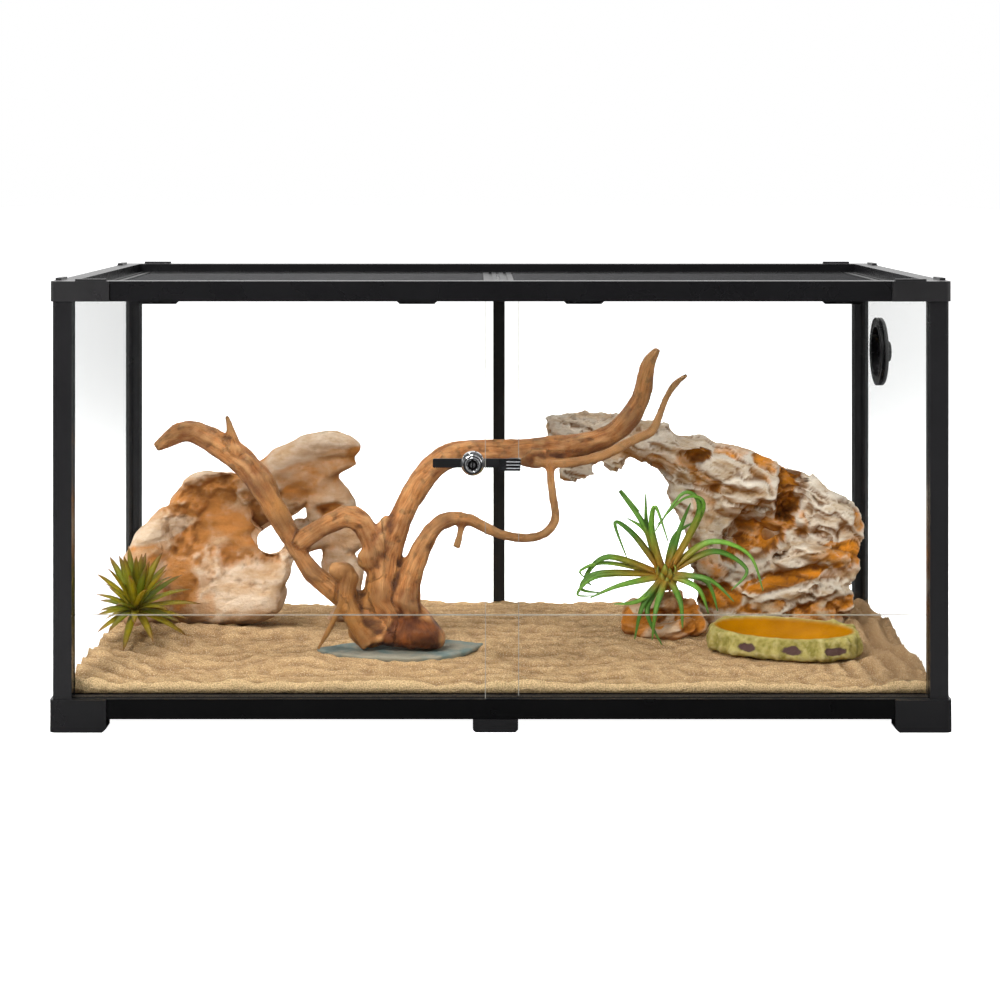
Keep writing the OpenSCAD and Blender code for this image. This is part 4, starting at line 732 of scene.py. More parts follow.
def eased(points, edges, rounds, share=0.5):
    """Points drawn towards their neighbours, again and again."""
    count = len(points)
    ends = np.concatenate([edges[:, 0], edges[:, 1]])
    others = np.concatenate([edges[:, 1], edges[:, 0]])
    neighbours = np.maximum(np.bincount(ends, minlength=count), 1)[:, None]
    points = points.copy()
    for _ in range(rounds):
        near = np.stack([np.bincount(ends, weights=points[others, k], minlength=count)
                         for k in range(points.shape[1])], axis=1) / neighbours
        points += (near - points) * share
    return points


def set_points(mesh, points):
    """Moves the mesh's points."""
    mesh.vertices.foreach_set("co", points.ravel())
    mesh.update()


def eased_skin(node_name, voxel, rounds):
    """A CAD node's skin after easing: its mesh, points, edges and outward directions."""
    mesh = remeshed(node_name, voxel)
    edges = rows_of(mesh.edges, "vertices", 2, np.int32)
    points = eased(rows_of(mesh.vertices, "co", 3), edges, rounds)
    set_points(mesh, points)
    return mesh, points, edges, rows_of(mesh.vertex_normals, "vector", 3)


def hollowness(points, edges, outward, rounds):
    """How far each point lies below those round it, in metres."""
    return ((eased(points, edges, rounds) - points) * outward).sum(axis=1)


def ridged(place, octaves, step=2.1):
    """Sharp-crested noise from 0 upwards; each octave is finer by the step."""
    return noise.ridged_multi_fractal(place, 1.0, step, octaves, 1.0, 2.0)


slate, tree, shader = new_material("split_slate", 0.8)
layers = patch(tree, 60, 0.35, 0.65, 6.0)
powder = patch(tree, 30, 0.45, 0.62, 5.0)
tone = layered(tree, blend_colour(tree, layers, (0.12, 0.175, 0.165), (0.22, 0.26, 0.23)),
               (powder, 0.5, (0.36, 0.27, 0.17)))
link(tree, tone, shader.inputs["Base Color"])
raise_bumps(tree, shader, layers, 0.0012)
mesh, points, _, outward = eased_skin("slate_base", 0.0026, 0)
chipped = np.array([ridged(Vector(p / 0.03), 3, 2.2) - 1.2 for p in points])
points += outward * (0.0007 * chipped)[:, None]
points[:, 2] = np.clip(points[:, 2], slate_low[2], slate_high[2] + 0.0004)
set_points(mesh, points)
new_piece("slate_slab", mesh, slate, "terrarium", ["slate_base"])

# ---------------------------------------------------------------- driftwood
# One sandblasted root, reddish tan, whose grain runs along each limb and swells round knots.
# It is screwed to the slate from below. The cut face at its foot shows the dark heartwood.

# Middle lines of the limbs, in millimetres, above the slate
limb_lines = [
    [(-150, -66, 48), (-178, -62, 60), (-204, -58, 80), (-222, -52, 106), (-240, -48, 138), (-258, -44, 168),
     (-278, -40, 196), (-306, -34, 214), (-335, -28, 230), (-356, -24, 228), (-381, -20, 212)],
    [(-286, -38, 200), (-294, -36, 226), (-301, -34, 250)],
    [(-218, -54, 112), (-196, -56, 128), (-170, -56, 141), (-150, -58, 134), (-138, -62, 110),
     (-133, -64, 84)],
    [(-128, -66, 12), (-130, -66, 40), (-128, -64, 70), (-122, -58, 100), (-108, -52, 138), (-88, -46, 176),
     (-62, -40, 202), (-28, -36, 210), (10, -34, 208), (46, -31, 212), (76, -28, 213), (104, -26, 219),
     (128, -24, 229), (146, -22, 246), (157, -20, 266), (163, -18, 290), (168, -16, 309), (178, -14, 321)],
    [(40, -44, 200), (60, -46, 198), (86, -48, 200), (112, -48, 206), (134, -46, 216), (153, -44, 226),
     (168, -42, 232), (176, -40, 248), (184, -38, 268), (194, -36, 284), (208, -34, 294)],
    [(-104, -66, 16), (-104, -68, 44), (-98, -68, 74), (-88, -66, 100), (-74, -64, 126), (-56, -62, 140),
     (-30, -60, 137), (0, -56, 122), (30, -54, 117), (50, -52, 122), (62, -50, 136), (60, -48, 156),
     (57, -47, 178), (56, -46, 198)],
    [(-40, -60, 138), (-43, -62, 122), (-47, -63, 108)],
    [(-162, -72, 82), (-166, -76, 56), (-156, -80, 30), (-140, -78, 8)],
    [(-172, -82, 50), (-184, -86, 24), (-196, -90, 3)],
]
wood_foot = slate_high[2] + clearance
# Knots and burrs: (x, y, z, radius) in metres above the slate
wood_knots = [(-0.262, -0.050, 0.176, 0.016), (-0.168, -0.078, 0.080, 0.018), (-0.132, -0.080, 0.100, 0.016),
              (-0.104, -0.086, 0.052, 0.014), (0.030, -0.050, 0.204, 0.012), (0.146, -0.034, 0.246, 0.014),
              (-0.060, -0.072, 0.140, 0.010), (-0.240, -0.060, 0.136, 0.012), (-0.128, -0.080, 0.060, 0.014),
              (-0.204, -0.068, 0.080, 0.011)]


def along_limbs(points):
    """For each point, how far it is along its nearest limb, the way out from the limb's middle, and how
    far out it is, in metres."""
    best = np.full(len(points), 1e9)
    along = np.zeros(len(points))
    around = np.zeros((len(points), 2))
    start = 0.0
    for line in limb_lines:
        line = np.array(line) / 1000 + (0, 0, wood_foot)
        for a, b in zip(line[:-1], line[1:]):
            length = np.linalg.norm(b - a)
            way = (b - a) / length
            t = np.clip((points - a) @ way, 0, length)
            off = points - (a + t[:, None] * way)
            distance = np.linalg.norm(off, axis=1)
            side = np.cross(way, (0, 1, 0))
            side /= np.linalg.norm(side)
            other = np.cross(side, way)
            closer = distance < best
            best[closer] = distance[closer]
            along[closer] = start + t[closer]
            around[closer] = np.stack([off @ side, off @ other], axis=1)[closer]
            start += length
        start += 0.05
    return along, around, best


mesh, points, edges, outward = eased_skin("driftwood", 0.0024, 3)
along, around, reach = along_limbs(points)
angle = np.arctan2(around[:, 1], around[:, 0])
grain = np.empty(len(points))
swell = np.empty(len(points))
for k in range(len(points)):
    turn = Vector((math.cos(angle[k]), math.sin(angle[k]), along[k] * 9))
    grain[k] = ridged(turn * 2.6 + Vector((0, 0, 5)), 3) - 1.3
    swell[k] = fractal(points[k], 0.022, 2, 7.7)
knotty = np.zeros(len(points))
for x, y, z, r in wood_knots:
    away = np.linalg.norm(points - (x, y, z + wood_foot), axis=1) / r
    knotty = np.maximum(knotty, np.exp(-(away ** 2)))
thick = np.clip(reach / 0.012, 0.25, 1.3)
points += outward * (0.0004 * grain * thick + 0.0013 * swell * thick + 0.0024 * knotty * thick)[:, None]
points[:, 2] = np.maximum(points[:, 2], wood_foot)
# The sawn end leans back to the left and spreads towards its foot
stump_x = -0.097
block = (np.clip((0.104 - points[:, 2]) / 0.02, 0, 1) * np.clip((points[:, 0] + 0.145) / 0.012, 0, 1)
         * np.clip((-0.052 - points[:, 0]) / 0.012, 0, 1))
lift = np.clip((points[:, 2] - wood_foot) / 0.045, 0, 1)
points[:, 0] += block * ((points[:, 0] - stump_x) * (0.16 - 0.5 * lift) + 0.006 * lift)
for k in np.nonzero(block > 0.01)[0]:
    points[k] += outward[k] * block[k] * (0.0022 * fractal(points[k], 0.03, 3, 21.0))
points[:, 2] = np.maximum(points[:, 2], wood_foot)
# hollow gives painted shade in the crevices, and where negative, wear with painted highlight on the ridges;
# wide gives painted shade in the wide hollows
hollow = hollowness(points, edges, outward, 6) / 0.0006
wide = hollowness(points, edges, outward, 45)
set_points(mesh, points)
# The sawn face at the foot, to the right of the stump
height = points[:, 2] - wood_foot
sawn = (np.clip((points[:, 0] + 0.136 - 0.5 * height) / 0.005, 0, 1)
        * np.clip((0.040 - 0.25 * np.abs(points[:, 0] - stump_x) - height) / 0.004, 0, 1)
        * np.clip((-0.062 - points[:, 0]) / 0.004, 0, 1))
# Orange tints, as seen from the front: (x, z, radius) in metres above the slate
tinted = np.zeros(len(points))
for x, z, r in ((-0.168, 0.036, 0.030), (-0.176, 0.010, 0.030), (-0.148, 0.062, 0.020),
                (-0.236, 0.150, 0.020), (-0.160, 0.084, 0.018)):
    away = (points[:, 0] - x) ** 2 + (height - z) ** 2
    tinted = np.maximum(tinted, np.exp(-away / (r * r)))
set_masks(mesh, along=along, turn_x=np.cos(angle), turn_y=np.sin(angle), crevice=np.clip(hollow, 0, 1),
          rubbed=np.clip(-hollow, 0, 1), shade=np.clip((wide - 0.0004) / 0.0035, 0, 1), knot=knotty,
          heartwood=sawn, tint=tinted)


def grown(tree, vector, **settings):
    """Noise over the given coordinates."""
    texture = add_node(tree, "ShaderNodeTexNoise", **settings)
    link(tree, vector, texture.inputs["Vector"])
    return texture.outputs["Fac"]


wood, tree, shader = new_material("sandblasted_root", specular=0.25)
limb = add_node(tree, "ShaderNodeCombineXYZ")
for place, name in enumerate(("turn_x", "turn_y", "along")):
    link(tree, mask_of(tree, name), limb.inputs[place])
stretched = mapped(tree, limb.outputs[0], Scale=(1, 1, 9))
streaks = grown(tree, stretched, scale=5.0, detail=6.0, roughness=0.65)
fibres = grown(tree, stretched, scale=16.0, detail=5.0, roughness=0.7)
checks = grown(tree, mapped(tree, limb.outputs[0], Scale=(1.4, 1.4, 7)),
               noise_type="RIDGED_MULTIFRACTAL", scale=2.6, detail=4.0)
streak = ranged(tree, streaks, 0, 1, 0.40, 0.70)
fibre = ranged(tree, fibres, 0, 1, 0.4, 0.7)
crack = ranged(tree, checks, 0, 0.85, 1.25, 1.75)
# Painted shade on the faces that look down
facing = add_node(tree, "ShaderNodeNewGeometry").outputs["Normal"]
underside = ranged(tree, part_along(tree, "Z", facing), 0.62, 0.0, -0.8, 0.1)
heart = blend_colour(tree, patch(tree, 60, 0.35, 0.65, 5.0), (0.045, 0.010, 0.003), (0.24, 0.066, 0.014))
# Painted shade darkens the undersides, the wide hollows and the crevices; the ridges are lighter with wear
# and painted highlight.
tone = layered(tree, blend_colour(tree, streak, (0.64, 0.245, 0.068), (0.20, 0.056, 0.013)),
               (patch(tree, 30, 0.44, 0.58, 6.0), 0.85, (0.235, 0.068, 0.017)),
               (patch(tree, 100, 0.54, 0.64, 5.0), 0.8, (0.10, 0.030, 0.009)),
               (fibre, 0.3, (0.68, 0.35, 0.125)),
               ("rubbed", 0.6, (0.74, 0.41, 0.165)),
               (crack, 1.0, (0.085, 0.026, 0.009)),
               (underside, 1.0, (0.17, 0.055, 0.017)),
               ("tint", 0.7, (0.46, 0.20, 0.045)),
               ("shade", 0.8, (0.12, 0.040, 0.014)),
               ("crevice", 0.85, (0.060, 0.020, 0.008)),
               ("knot", 0.55, (0.13, 0.045, 0.018)),
               ("heartwood", 0.95, heart))
link(tree, tone, shader.inputs["Base Color"])
link(tree, ranged(tree, streak, 0.38, 0.58), shader.inputs["Roughness"])
lines = raise_bumps(tree, shader, streaks, 0.0045, 0.9)
lines = raise_bumps(tree, shader, ranged(tree, crack, 1.0, 0.0), 0.0016, 0.9, lines)
raise_bumps(tree, shader, fibres, 0.0014, 0.9, lines)
new_piece("driftwood_root", mesh, wood, "terrarium", ["driftwood"])

# ---------------------------------------------------------------- rocks
# Cast stone, hollow-weathered: pale cream and grey on the ridges, orange and brown in the hollows, darkened
# further by painted shade in the hollows, crevices and undersides.
# The cave is smooth and scooped; the arch and the ledge are rough and layered.


def spread_of(points, place, warp):
    """How far each point is from a place's middle as seen from the front, in its half sizes."""
    x, z, half_w, half_h, tilt = place
    c, s = math.cos(math.radians(tilt)), math.sin(math.radians(tilt))
    right, up = points[:, 0] * 1000 - x, points[:, 2] * 1000 - z
    return np.hypot((right * c + up * s) / half_w, (up * c - right * s) / half_h) + 0.35 * warp


def weathered(node_name, voxel, rounds, coarse, ridges, plates, lean, seed, places, edge=0.28):
    """A rock's skin from its CAD solid, with its masks. coarse, ridges and plates are (size, depth) in
    metres, and lean is the slope of its layers in degrees. Each of the places, in millimetres, is
    (x, z, half width, half height, tilt, how far it stands out, its staining from -1 pale to 1 rusty), and
    edge is how softly each one ends. The staining mask also holds painted shade, deeper in the wide hollows."""
    mesh, points, edges, outward = eased_skin(node_name, voxel, rounds)
    low = points[:, 2].min()
    c, s = math.cos(math.radians(lean)), math.sin(math.radians(lean))
    push = np.empty(len(points))
    warp = np.empty(len(points))
    stain = np.empty(len(points))
    for k, p in enumerate(points):
        u, v = p[0] * c + p[2] * s, -p[0] * s + p[2] * c
        laid = Vector((u * 0.45, p[1], v * 1.5))
        big = fractal(p, coarse[0], 2, seed)
        crag = ridged(laid / ridges[0] + Vector((seed, 0, 0)), 4) - 1.25
        warp[k] = fractal(p, 0.020, 3, seed + 2)
        bent = (laid + Vector((warp[k], big, -warp[k])) * 0.004) / plates[0]
        step = noise.cell(noise.voronoi(bent)[1][0] * 7.3)
        small = noise.cell(noise.voronoi(bent * 2.7)[1][0] * 5.1)
        push[k] = coarse[1] * big + ridges[1] * crag + plates[1] * (step + 0.35 * small - 0.7)
        stain[k] = 0.22 + 0.5 * fractal(p, 0.055, 3, seed + 9)
    front = np.clip(0.25 - 1.6 * outward[:, 1], 0, 1)
    standing = np.clip((points[:, 2] - low) / 0.012, 0.15, 1)
    points = points + outward * (push * standing)[:, None]
    for *place, stands_out, rusty in places:
        share = np.clip((1.1 + edge / 2 - spread_of(points, place, warp)) / edge, 0, 1) * front
        points[:, 1] -= stands_out / 1000 * share * standing
        stain += (rusty - stain) * share * 0.85
    points[:, 2] = np.maximum(points[:, 2], low)
    near = hollowness(points, edges, outward, 4)
    wide = hollowness(points, edges, outward, 60)
    set_points(mesh, points)
    # Painted shade fills the narrow and the wide hollows, and the wide hollows also push the rust mask deeper
    # as painted shade.
    set_masks(mesh, crevice=np.clip((near - 0.0003) / 0.0010, 0, 1),
              ridge=np.clip((-near - 0.0002) / 0.0010, 0, 1),
              shade=np.clip((wide - 0.0015) / 0.0050, 0, 1),
              stain=np.clip(stain + 45 * wide, -1, 1) * 0.5 + 0.5)
    return mesh


def rock_finish(name, pale, mid, rust, dark, lean, crack, under, crust=0.0):
    """Weathered stone: pale ridges, a middle tone, rust in the rusty places, dark cracks, and painted shade
    in the crevices and hollows.
    under is how dark the painted shade and rust on the faces that look down are, and crust how much a dark
    crust covers those that look up."""
    material, tree, shader = new_material(name, specular=0.08)
    spot = add_node(tree, "ShaderNodeTexCoord").outputs["Object"]
    laid = mapped(tree, spot, Rotation=(0, math.radians(lean), 0), Scale=(1, 2, 3.2))
    streaks = grown(tree, laid, scale=26.0, detail=7.0, roughness=0.58)
    streak = ranged(tree, streaks, 0, 1, 0.34, 0.66)
    veins = grown(tree, laid, noise_type="RIDGED_MULTIFRACTAL", scale=34.0, detail=6.0)
    cloud = ranged(tree, patch(tree, 60, 0.3, 0.7, 6.0), -0.10, 0.10)
    stained = worked_out(tree, "ADD", mask_of(tree, "stain"), cloud, clamp=True)
    bare = worked_out(tree, "MULTIPLY", ranged(tree, mask_of(tree, "ridge"), 0.0, 0.6),
                      ranged(tree, stained, 1.0, 0.15, 0.5, 0.85))
    # The undersides are rustier, and darker with painted shade
    facing = add_node(tree, "ShaderNodeNewGeometry").outputs["Normal"]
    underside = ranged(tree, part_along(tree, "Z", facing), under, 0.0, -0.75, -0.05)
    deep = tuple(0.55 * c for c in rust)
    # Painted shade darkens the wide hollows, the crevices and the faces that look down.
    tone = layered(tree, blend_colour(tree, streak, pale, mid),
                   (ranged(tree, stained, 0, 1, 0.54, 0.80), 1.0, blend_colour(tree, streak, rust, mid)),
                   (ranged(tree, stained, 0, 1, 0.72, 0.92), 1.0, blend_colour(tree, streak, rust, deep)),
                   (bare, 1.0, pale),
                   (ranged(tree, veins, 0, crack, 0.75, 1.5), 1.0, dark),
                   ("shade", 0.6, tuple(0.7 * c for c in deep)),
                   ("crevice", 1.5 * crack, dark),
                   (underside, 1.0, tuple(0.55 * c for c in deep)))
    if crust:
        lichen = add_node(tree, "ShaderNodeGroup", node_tree=settled_dust)
        lichen.inputs["Amount"].default_value = crust
        tone = blend_colour(tree, lichen.outputs["Mask"], tone, (0.13, 0.085, 0.055))
    link(tree, tone, shader.inputs["Base Color"])
    link(tree, ranged(tree, streak, 0.7, 0.9), shader.inputs["Roughness"])
    rough = raise_bumps(tree, shader, streaks, 0.0040, 0.8)
    raise_bumps(tree, shader, patch(tree, 330, 0.2, 0.8, 5.0), 0.0012, 0.8, rough)
    return material


# The rustiest places, in the nooks under the main hollow's rim and beside it, also stand for painted shade
# there.
cave_places = [(-304, 158, 62, 42, -22, -22, 0.55), (-330, 196, 34, 16, 28, -5, 1.0),
               (-350, 166, 12, 34, 8, -2, 0.95), (-300, 150, 34, 14, -25, 0, 0.80),
               (-306, 92, 32, 14, 0, -4, 0.2), (-334, 226, 44, 8, 6, 3, -1.0),
               (-392, 157, 34, 9, 15, 3, -1.0), (-258, 82, 54, 34, 0, 9, -0.9),
               (-186, 266, 34, 10, 0, 4, -1.0), (-395, 178, 32, 8, 8, 0, 0.75),
               (-404, 132, 26, 12, 0, 0, 0.65), (-266, 130, 30, 9, -30, 0, 0.55),
               (-203, 217, 36, 28, 0, 0, 0.52), (-163, 246, 9, 8, 0, -2, 0.9),
               (-192, 177, 14, 9, 0, -8, 1.0), (-362, 104, 16, 34, 0, -4, 0.8),
               (-220, 248, 30, 9, 24, 1, -0.5), (-236, 196, 20, 10, 20, -1, 0.7)]
cave_stone = rock_finish("cave_stone", (0.76, 0.60, 0.44), (0.56, 0.34, 0.18), (0.60, 0.245, 0.065),
                         (0.17, 0.070, 0.028), 35, 0.34, 0.6)
mesh = weathered("cave_rock", 0.0025, 10, (0.060, 0.0040), (0.055, 0.0024), (0.045, 0.0007), 35, 2.0,
                 cave_places, 0.7)
new_piece("cave_stone", mesh, cave_stone, "terrarium", ["cave_rock"])

arch_places = [(302, 158, 42, 26, 38, -24, 0.74), (334, 204, 15, 34, -5, -20, 0.85),
               (252, 82, 26, 14, 0, -8, 0.9), (284, 193, 36, 22, -8, 10, -1.0),
               (262, 228, 30, 14, -24, 8, -0.9), (376, 196, 28, 34, 20, 11, -1.0),
               (336, 86, 50, 11, 16, 9, -1.0), (212, 258, 34, 10, -12, 5, -0.9),
               (398, 222, 16, 12, -30, 3, -0.2), (284, 116, 24, 8, 35, 4, -0.6),
               (340, 128, 34, 8, 14, 5, -0.6), (207, 190, 14, 36, 0, 4, -0.3),
               (257, 156, 18, 18, 0, 2, -0.9), (404, 92, 16, 12, 0, 3, -0.7), (364, 146, 26, 7, 4, 5, -0.9),
               (309, 236, 16, 9, -20, -9, 0.7), (230, 246, 14, 8, 0, -9, 0.8), (256, 206, 14, 6, 0, -6, 0.6),
               (388, 134, 32, 12, 0, 0, 0.85), (330, 106, 50, 8, 16, -4, 0.9),
               (414, 182, 9, 22, 0, 0, 0.8), (392, 76, 22, 7, 12, -5, 0.8), (300, 74, 24, 7, 12, -4, 0.8)]
arch_stone = rock_finish("arch_stone", (0.72, 0.64, 0.53), (0.48, 0.33, 0.19), (0.72, 0.25, 0.018),
                         (0.15, 0.058, 0.018), -24, 0.5, 0.8, 0.6)
mesh = weathered("arch_rock", 0.0025, 5, (0.050, 0.0035), (0.040, 0.0035), (0.030, 0.0040), -26, 7.0,
                 arch_places)
new_piece("arch_stone", mesh, arch_stone, "terrarium", ["arch_rock"])

ledge_places = [(148, 62, 18, 18, 0, 3, 0.9), (168, 84, 18, 8, 10, 2, -0.4), (190, 60, 26, 7, 25, 3, -0.7),
                (175, 70, 12, 10, 0, -3, 0.9), (215, 72, 16, 18, 0, -3, 1.0), (204, 84, 18, 8, 0, 2, 0.5)]
ledge_stone = rock_finish("ledge_stone", (0.66, 0.52, 0.37), (0.50, 0.25, 0.105), (0.62, 0.22, 0.028),
                          (0.15, 0.07, 0.03), -18, 0.5, 0.7)
mesh = weathered("ledge_stones", 0.0020, 4, (0.030, 0.0015), (0.016, 0.0016), (0.010, 0.0012), 20, 4.0,
                 ledge_places)
new_piece("ledge_stone", mesh, ledge_stone, "terrarium", ["ledge_stones"])

# ---------------------------------------------------------------- plants
# Moulded plastic leaves. The rosette has stiff pointed blades with scorched tips, and the air plant
# long thin ones that arch over and curl.
plant_foot = sand_level + clearance


def blade(route, widths, up, fold=0.35, thick=0.0005):
    """A leaf: points and faces of a narrow V-section blade along a route, with a closed underside.
    Also gives each point's place along the leaf, from 0 to 1."""
    points, faces, place = [], [], []
    n = len(route)
    for i, (p, w) in enumerate(zip(route, widths)):
        way = (route[min(i + 1, n - 1)] - route[max(i - 1, 0)]).normalized()
        side = way.cross(up)
        side = side.normalized() if side.length > 1e-6 else Vector((1, 0, 0))
        top = side.cross(way).normalized()
        for a, b in ((-1, fold), (0, 0), (1, fold), (0, -thick / max(w, 1e-5) * 2)):
            points.append(p + side * (a * w / 2) + top * (b * w / 2))
            place.append(i / (n - 1))
    for i in range(n - 1):
        for k in range(4):
            a, b = i * 4 + k, i * 4 + (k + 1) % 4
            faces.append((a, b, b + 4, a + 4))
    faces.append((0, 3, 2, 1))
    last = (n - 1) * 4
    faces.append((last, last + 1, last + 2, last + 3))
    return points, faces, place


def plant(name, leaves, material, node_name):
    """One mesh of many leaves, with masks for the place along a leaf and each leaf's own tone."""
    points, faces, place, tone = [], [], [], []
    picker = random.Random(name)
    for leaf_points, leaf_faces, leaf_place in leaves:
        shift = len(points)
        points += leaf_points
        faces += [tuple(shift + q for q in f) for f in leaf_faces]
        place += leaf_place
        tone += [picker.random()] * len(leaf_points)
    mesh = new_mesh(points, faces)
    new_piece(name, mesh, material, "terrarium", [node_name])
    set_masks(mesh, place=place, tone=tone)


def leaf_finish(name, young, old, tip, tip_start, base, base_end):
    """Moulded plastic from young to old by each leaf's tone, with another colour at the tip and the base."""
    material, tree, shader = new_material(name, specular=0.35)
    place = mask_of(tree, "place")
    tone = layered(tree, blend_colour(tree, mask_of(tree, "tone"), young, old),
                   (patch(tree, 220, 0.4, 0.65, 4.0), 0.35, old),
                   (ranged(tree, place, 0.0, 1.0, tip_start, 1.0), 1.0, tip),
                   (ranged(tree, place, 1.0, 0.0, 0.0, base_end), 1.0, base))
    link(tree, tone, shader.inputs["Base Color"])
    link(tree, ranged(tree, patch(tree, 300), 0.35, 0.5), shader.inputs["Roughness"])
    raise_bumps(tree, shader, patch(tree, 600, 0.3, 0.7, 3.0), 0.0003, 0.7)
    return material


rosette_middle = Vector((-0.403, -0.024, plant_foot + 0.038))
rosette_blades = 50
golden_turn = 137.5
longest_blade = 0.076
room_round = 0.074
room_below = 0.034
blade_steps = 8
picker = random.Random(11)
leaves = []
for i in range(rosette_blades):
    turn = math.radians(i * golden_turn + 8)
    rise = math.radians(84 - 112 * i / (rosette_blades - 1))
    room = room_round * (0.79 + 0.21 * math.cos(turn)) * (1 - 0.4 * max(0.0, math.sin(turn)))
    reach = min(longest_blade * (0.78 + 0.22 * picker.random()), room / max(math.cos(rise), 0.01),
                room_below / math.sin(-rise) if rise < -0.02 else 1.0)
    out = Vector((math.cos(turn) * math.cos(rise), math.sin(turn) * math.cos(rise), math.sin(rise)))
    droop = 0.10 * reach * picker.random()
    route, widths = [], []
    for q in range(blade_steps + 1):
        t = q / blade_steps
        bow = 0.05 * reach * math.sin(math.pi * t) - droop * t * t
        swell = 0.55 + 0.6 * math.sin(math.pi * min(t * 1.35, 1) * 0.5)
        route.append(rosette_middle + out * (reach * t) + Vector((0, 0, bow)))
        widths.append(0.0115 * swell * (1 - t) ** 0.6 + 0.0004)
    leaves.append(blade(route, widths, Vector((0, -0.5, 1)) if rise < 1.0 else Vector((0, -1, 0.2)), 0.28))
rosette_leaf = leaf_finish("rosette_leaf", (0.46, 0.315, 0.008), (0.16, 0.19, 0.008), (0.20, 0.070, 0.012),
                           0.62, (0.22, 0.13, 0.02), 0.25)
plant("rosette_blades", leaves, rosette_leaf, "rosette_plant")

# The air plant's leaves as routes from its crown, in millimetres
air_leaves = [
    [(-8, 0, 14), (-25, -4, 58), (-52, -8, 97), (-30, -12, 74)],
    [(-10, 2, 8), (-20, 3, 48), (-22, 4, 92)],
    [(-8, -4, 12), (-16, -6, 52), (-12, -9, 79), (2, -12, 40)],
    [(-10, -2, 10), (-36, -10, 47), (-58, -16, 62), (-45, -20, 24)],
    [(-10, 0, 4), (-64, -6, 22), (-90, -10, 2), (-84, -13, -9)],
    [(-10, -4, 2), (-76, -14, 5), (-96, -20, -11), (-71, -24, -15)],
    [(-8, -8, 0), (-54, -28, -6), (-87, -36, -18)],
    [(-4, -10, -2), (-32, -40, -20), (-61, -50, -22)],
    [(-6, -10, -2), (-28, -40, -24), (-38, -44, -62)],
    [(-2, -12, -2), (-24, -42, -30), (-8, -46, -68)],
    [(1, -12, -2), (-14, -46, -26), (-19, -48, -62)],
    [(5, -10, 0), (14, -28, -24), (16, -33, -52)],
    [(8, -8, 2), (34, -24, -10), (46, -24, -38)],
    [(10, -6, 2), (46, -22, 0), (74, -26, -24)],
    [(10, -4, 4), (44, -10, -4), (58, -8, -38)],
    [(10, 0, 8), (54, -4, 28), (90, -12, 9), (72, -18, -13)],
    [(10, 2, 10), (48, -2, 38), (92, -8, 26), (108, -14, -14)],
    [(5, 3, 12), (16, 4, 50), (29, 6, 81)],
    [(10, 2, 12), (38, -2, 72), (20, -6, 94), (-14, -11, 50)],
    [(-4, 6, 10), (-20, 14, 46), (-42, 18, 62)],
    [(4, 6, 10), (12, 14, 42), (34, 16, 58)],
]
ledge_height = 0.0518
air_crown = Vector((0.188, 0.012, plant_foot + ledge_height + 0.018))


def smooth_line(ends, steps):
    """Points on the smooth curve through the given ones."""
    line = []
    for i in range(len(ends) - 1):
        a, b, c, d = ends[max(i - 1, 0)], ends[i], ends[i + 1], ends[min(i + 2, len(ends) - 1)]
        for q in range(steps):
            t = q / steps
            line.append(0.5 * (2 * b + (c - a) * t + (2 * a - 5 * b + 4 * c - d) * t * t
                               + (3 * b - a - 3 * c + d) * t ** 3))
    return line + [ends[-1]]


picker = random.Random(5)
leaves = []
for route in air_leaves:
    ends = [Vector(p) / 1000 for p in route]
    ends[0] = ends[0] * 0.5
    for copy in range(2 if len(route) == 4 and picker.random() < 0.4 else 1):
        spread = 0.0 if copy == 0 else 0.007
        bent = [air_crown + p + Vector([picker.uniform(-1, 1) * spread * min(1, i) for _ in range(3)])
                for i, p in enumerate(ends)]
        if copy:
            bent[-1] = bent[-2].lerp(bent[-1], picker.uniform(0.7, 1.0))
        line = smooth_line(bent, 7)
        widest = 0.0102 if copy == 0 else 0.0070
        widths = [widest * (0.65 + 0.35 * math.sin(math.pi * min(1, 4 * i / len(line)) / 2))
                  * (1 - 0.88 * (i / (len(line) - 1)) ** 1.05) for i in range(len(line))]
        leaves.append(blade(line, widths, Vector((0, -0.8, 0.6)), 0.22))
# Scales at the base of the crown, overlapping like a bulb
for i in range(18):
    turn = math.radians(i * golden_turn)
    lift = -0.018 + 0.001 * i
    out = Vector((math.cos(turn), math.sin(turn), 0))
    foot = air_crown + Vector((0, 0, lift))
    line = [foot + out * (0.004 + 0.007 * math.sin(math.pi * t) + 0.006 * t * t) + Vector((0, 0, 0.018 * t))
            for t in np.linspace(0, 1, 6)]
    scale_points, scale_faces, place = blade(line, [0.009, 0.011, 0.011, 0.009, 0.006, 0.002],
                                             out * -1 + Vector((0, 0, 0.3)), 0.4)
    leaves.append((scale_points, scale_faces, [0.28 * q for q in place]))
air_leaf = leaf_finish("air_plant_leaf", (0.17, 0.36, 0.035), (0.060, 0.165, 0.013), (0.14, 0.27, 0.055),
                       0.7, (0.40, 0.14, 0.012), 0.34)
plant("air_plant_blades", leaves, air_leaf, "air_plant")

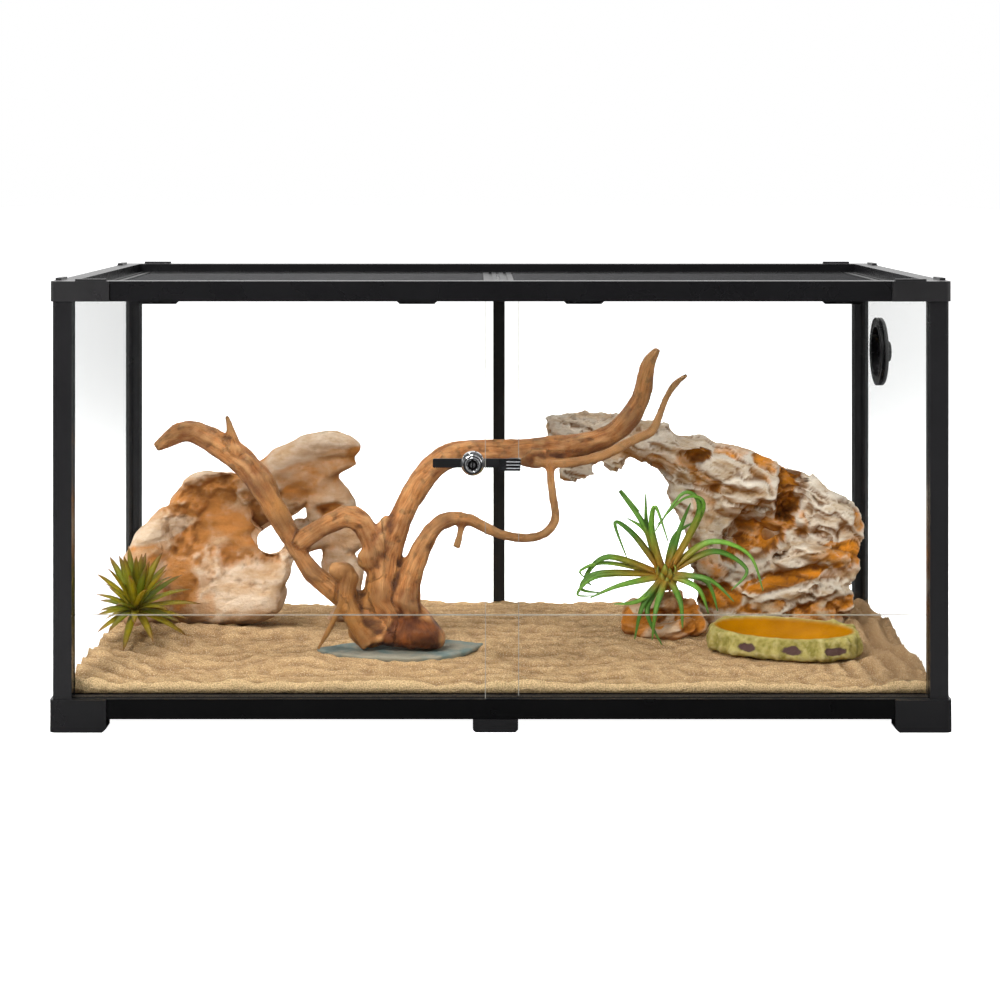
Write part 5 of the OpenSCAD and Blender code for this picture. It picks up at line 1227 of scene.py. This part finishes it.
# ---------------------------------------------------------------- food dish
# A cast resin basin: rough rock-like wall in mottled yellow-green with three fossil-like ovals,
# and a smooth glazed hollow in deep yellow.
mesh, points, edges, outward = eased_skin("food_dish", 0.0018, 4)
dish_middle = np.array([0.311, -0.058])
turn = math.radians(-19)
across, back = points[:, 0] - dish_middle[0], points[:, 1] - dish_middle[1]
local_x = across * math.cos(turn) + back * math.sin(turn)
local_y = -across * math.sin(turn) + back * math.cos(turn)
spread = np.sqrt((local_x / 0.0785) ** 2 + (local_y / 0.040) ** 2)
bowl = np.clip((1.0 - spread) / 0.06, 0, 1) * (outward[:, 2] > 0.05)
rough = np.array([ridged(Vector(p / 0.020), 4) - 1.25 for p in points])
small = np.array([fractal(p, 0.006, 2, 3.0) for p in points])
outer = 1 - np.clip((1.08 - spread) / 0.1, 0, 1)
points += outward * ((0.0016 * rough + 0.0006 * small) * (0.15 + 0.85 * outer))[:, None]
# The front wall stands upright down to the sand
low_down = np.clip((dish_low[2] + 0.020 - points[:, 2]) / 0.014, 0, 1)
points[:, 1] -= 0.006 * low_down * np.clip((-local_y - 0.030) / 0.012, 0, 1)
points[:, 2] = np.maximum(points[:, 2], dish_low[2])
near = hollowness(points, edges, outward, 4) / 0.0007
wall = (local_y < 0) & (spread > 1.0)
oval = np.zeros(len(points))
for place in (-0.0315, 0.0175, 0.062):
    from_left, from_foot = local_x - place, points[:, 2] - dish_low[2]
    away = (from_left / 0.0115) ** 2 + ((from_foot - 0.0115) / 0.0042) ** 2 + 0.5 * small
    oval = np.maximum(oval, np.where(wall, np.clip(1.35 - away, 0, 1), 0))
points -= outward * (0.0006 * oval)[:, None]
set_points(mesh, points)
set_masks(mesh, bowl=bowl, oval=oval, crevice=np.clip(near, 0, 1), ridge=np.clip(-near, 0, 1))
resin, tree, shader = new_material("cast_resin", specular=0.03)
mottled = patch(tree, 110, 0.35, 0.65, 5.0)
# Lighter on the ridges; painted shade darkens the crevices.
tone = layered(tree, blend_colour(tree, mottled, (0.22, 0.185, 0.040), (0.40, 0.33, 0.10)),
               ("ridge", 0.7, (0.56, 0.47, 0.23)),
               ("crevice", 0.85, (0.12, 0.095, 0.02)),
               (ranged(tree, mask_of(tree, "oval"), 0.0, 0.95, 0.15, 0.6), 1.0, (0.075, 0.036, 0.040)))
yellow = blend_colour(tree, patch(tree, 40, 0.35, 0.65, 3.0), (0.34, 0.130, 0.0001), (0.42, 0.165, 0.0002))
link(tree, blend_colour(tree, mask_of(tree, "bowl"), tone, yellow), shader.inputs["Base Color"])
link(tree, ranged(tree, mask_of(tree, "bowl"), 0.6, 0.35), shader.inputs["Roughness"])
spot = add_node(tree, "ShaderNodeTexCoord").outputs["Object"]
crackle = grown(tree, spot, noise_type="RIDGED_MULTIFRACTAL", scale=150.0, detail=4.0)
coarse = raise_bumps(tree, shader, crackle, 0.0007, 0.7)
raise_bumps(tree, shader, patch(tree, 420, 0.25, 0.75, 4.0), 0.0006, 0.6, coarse)
new_piece("resin_dish", mesh, resin, "food_dish", ["food_dish"])
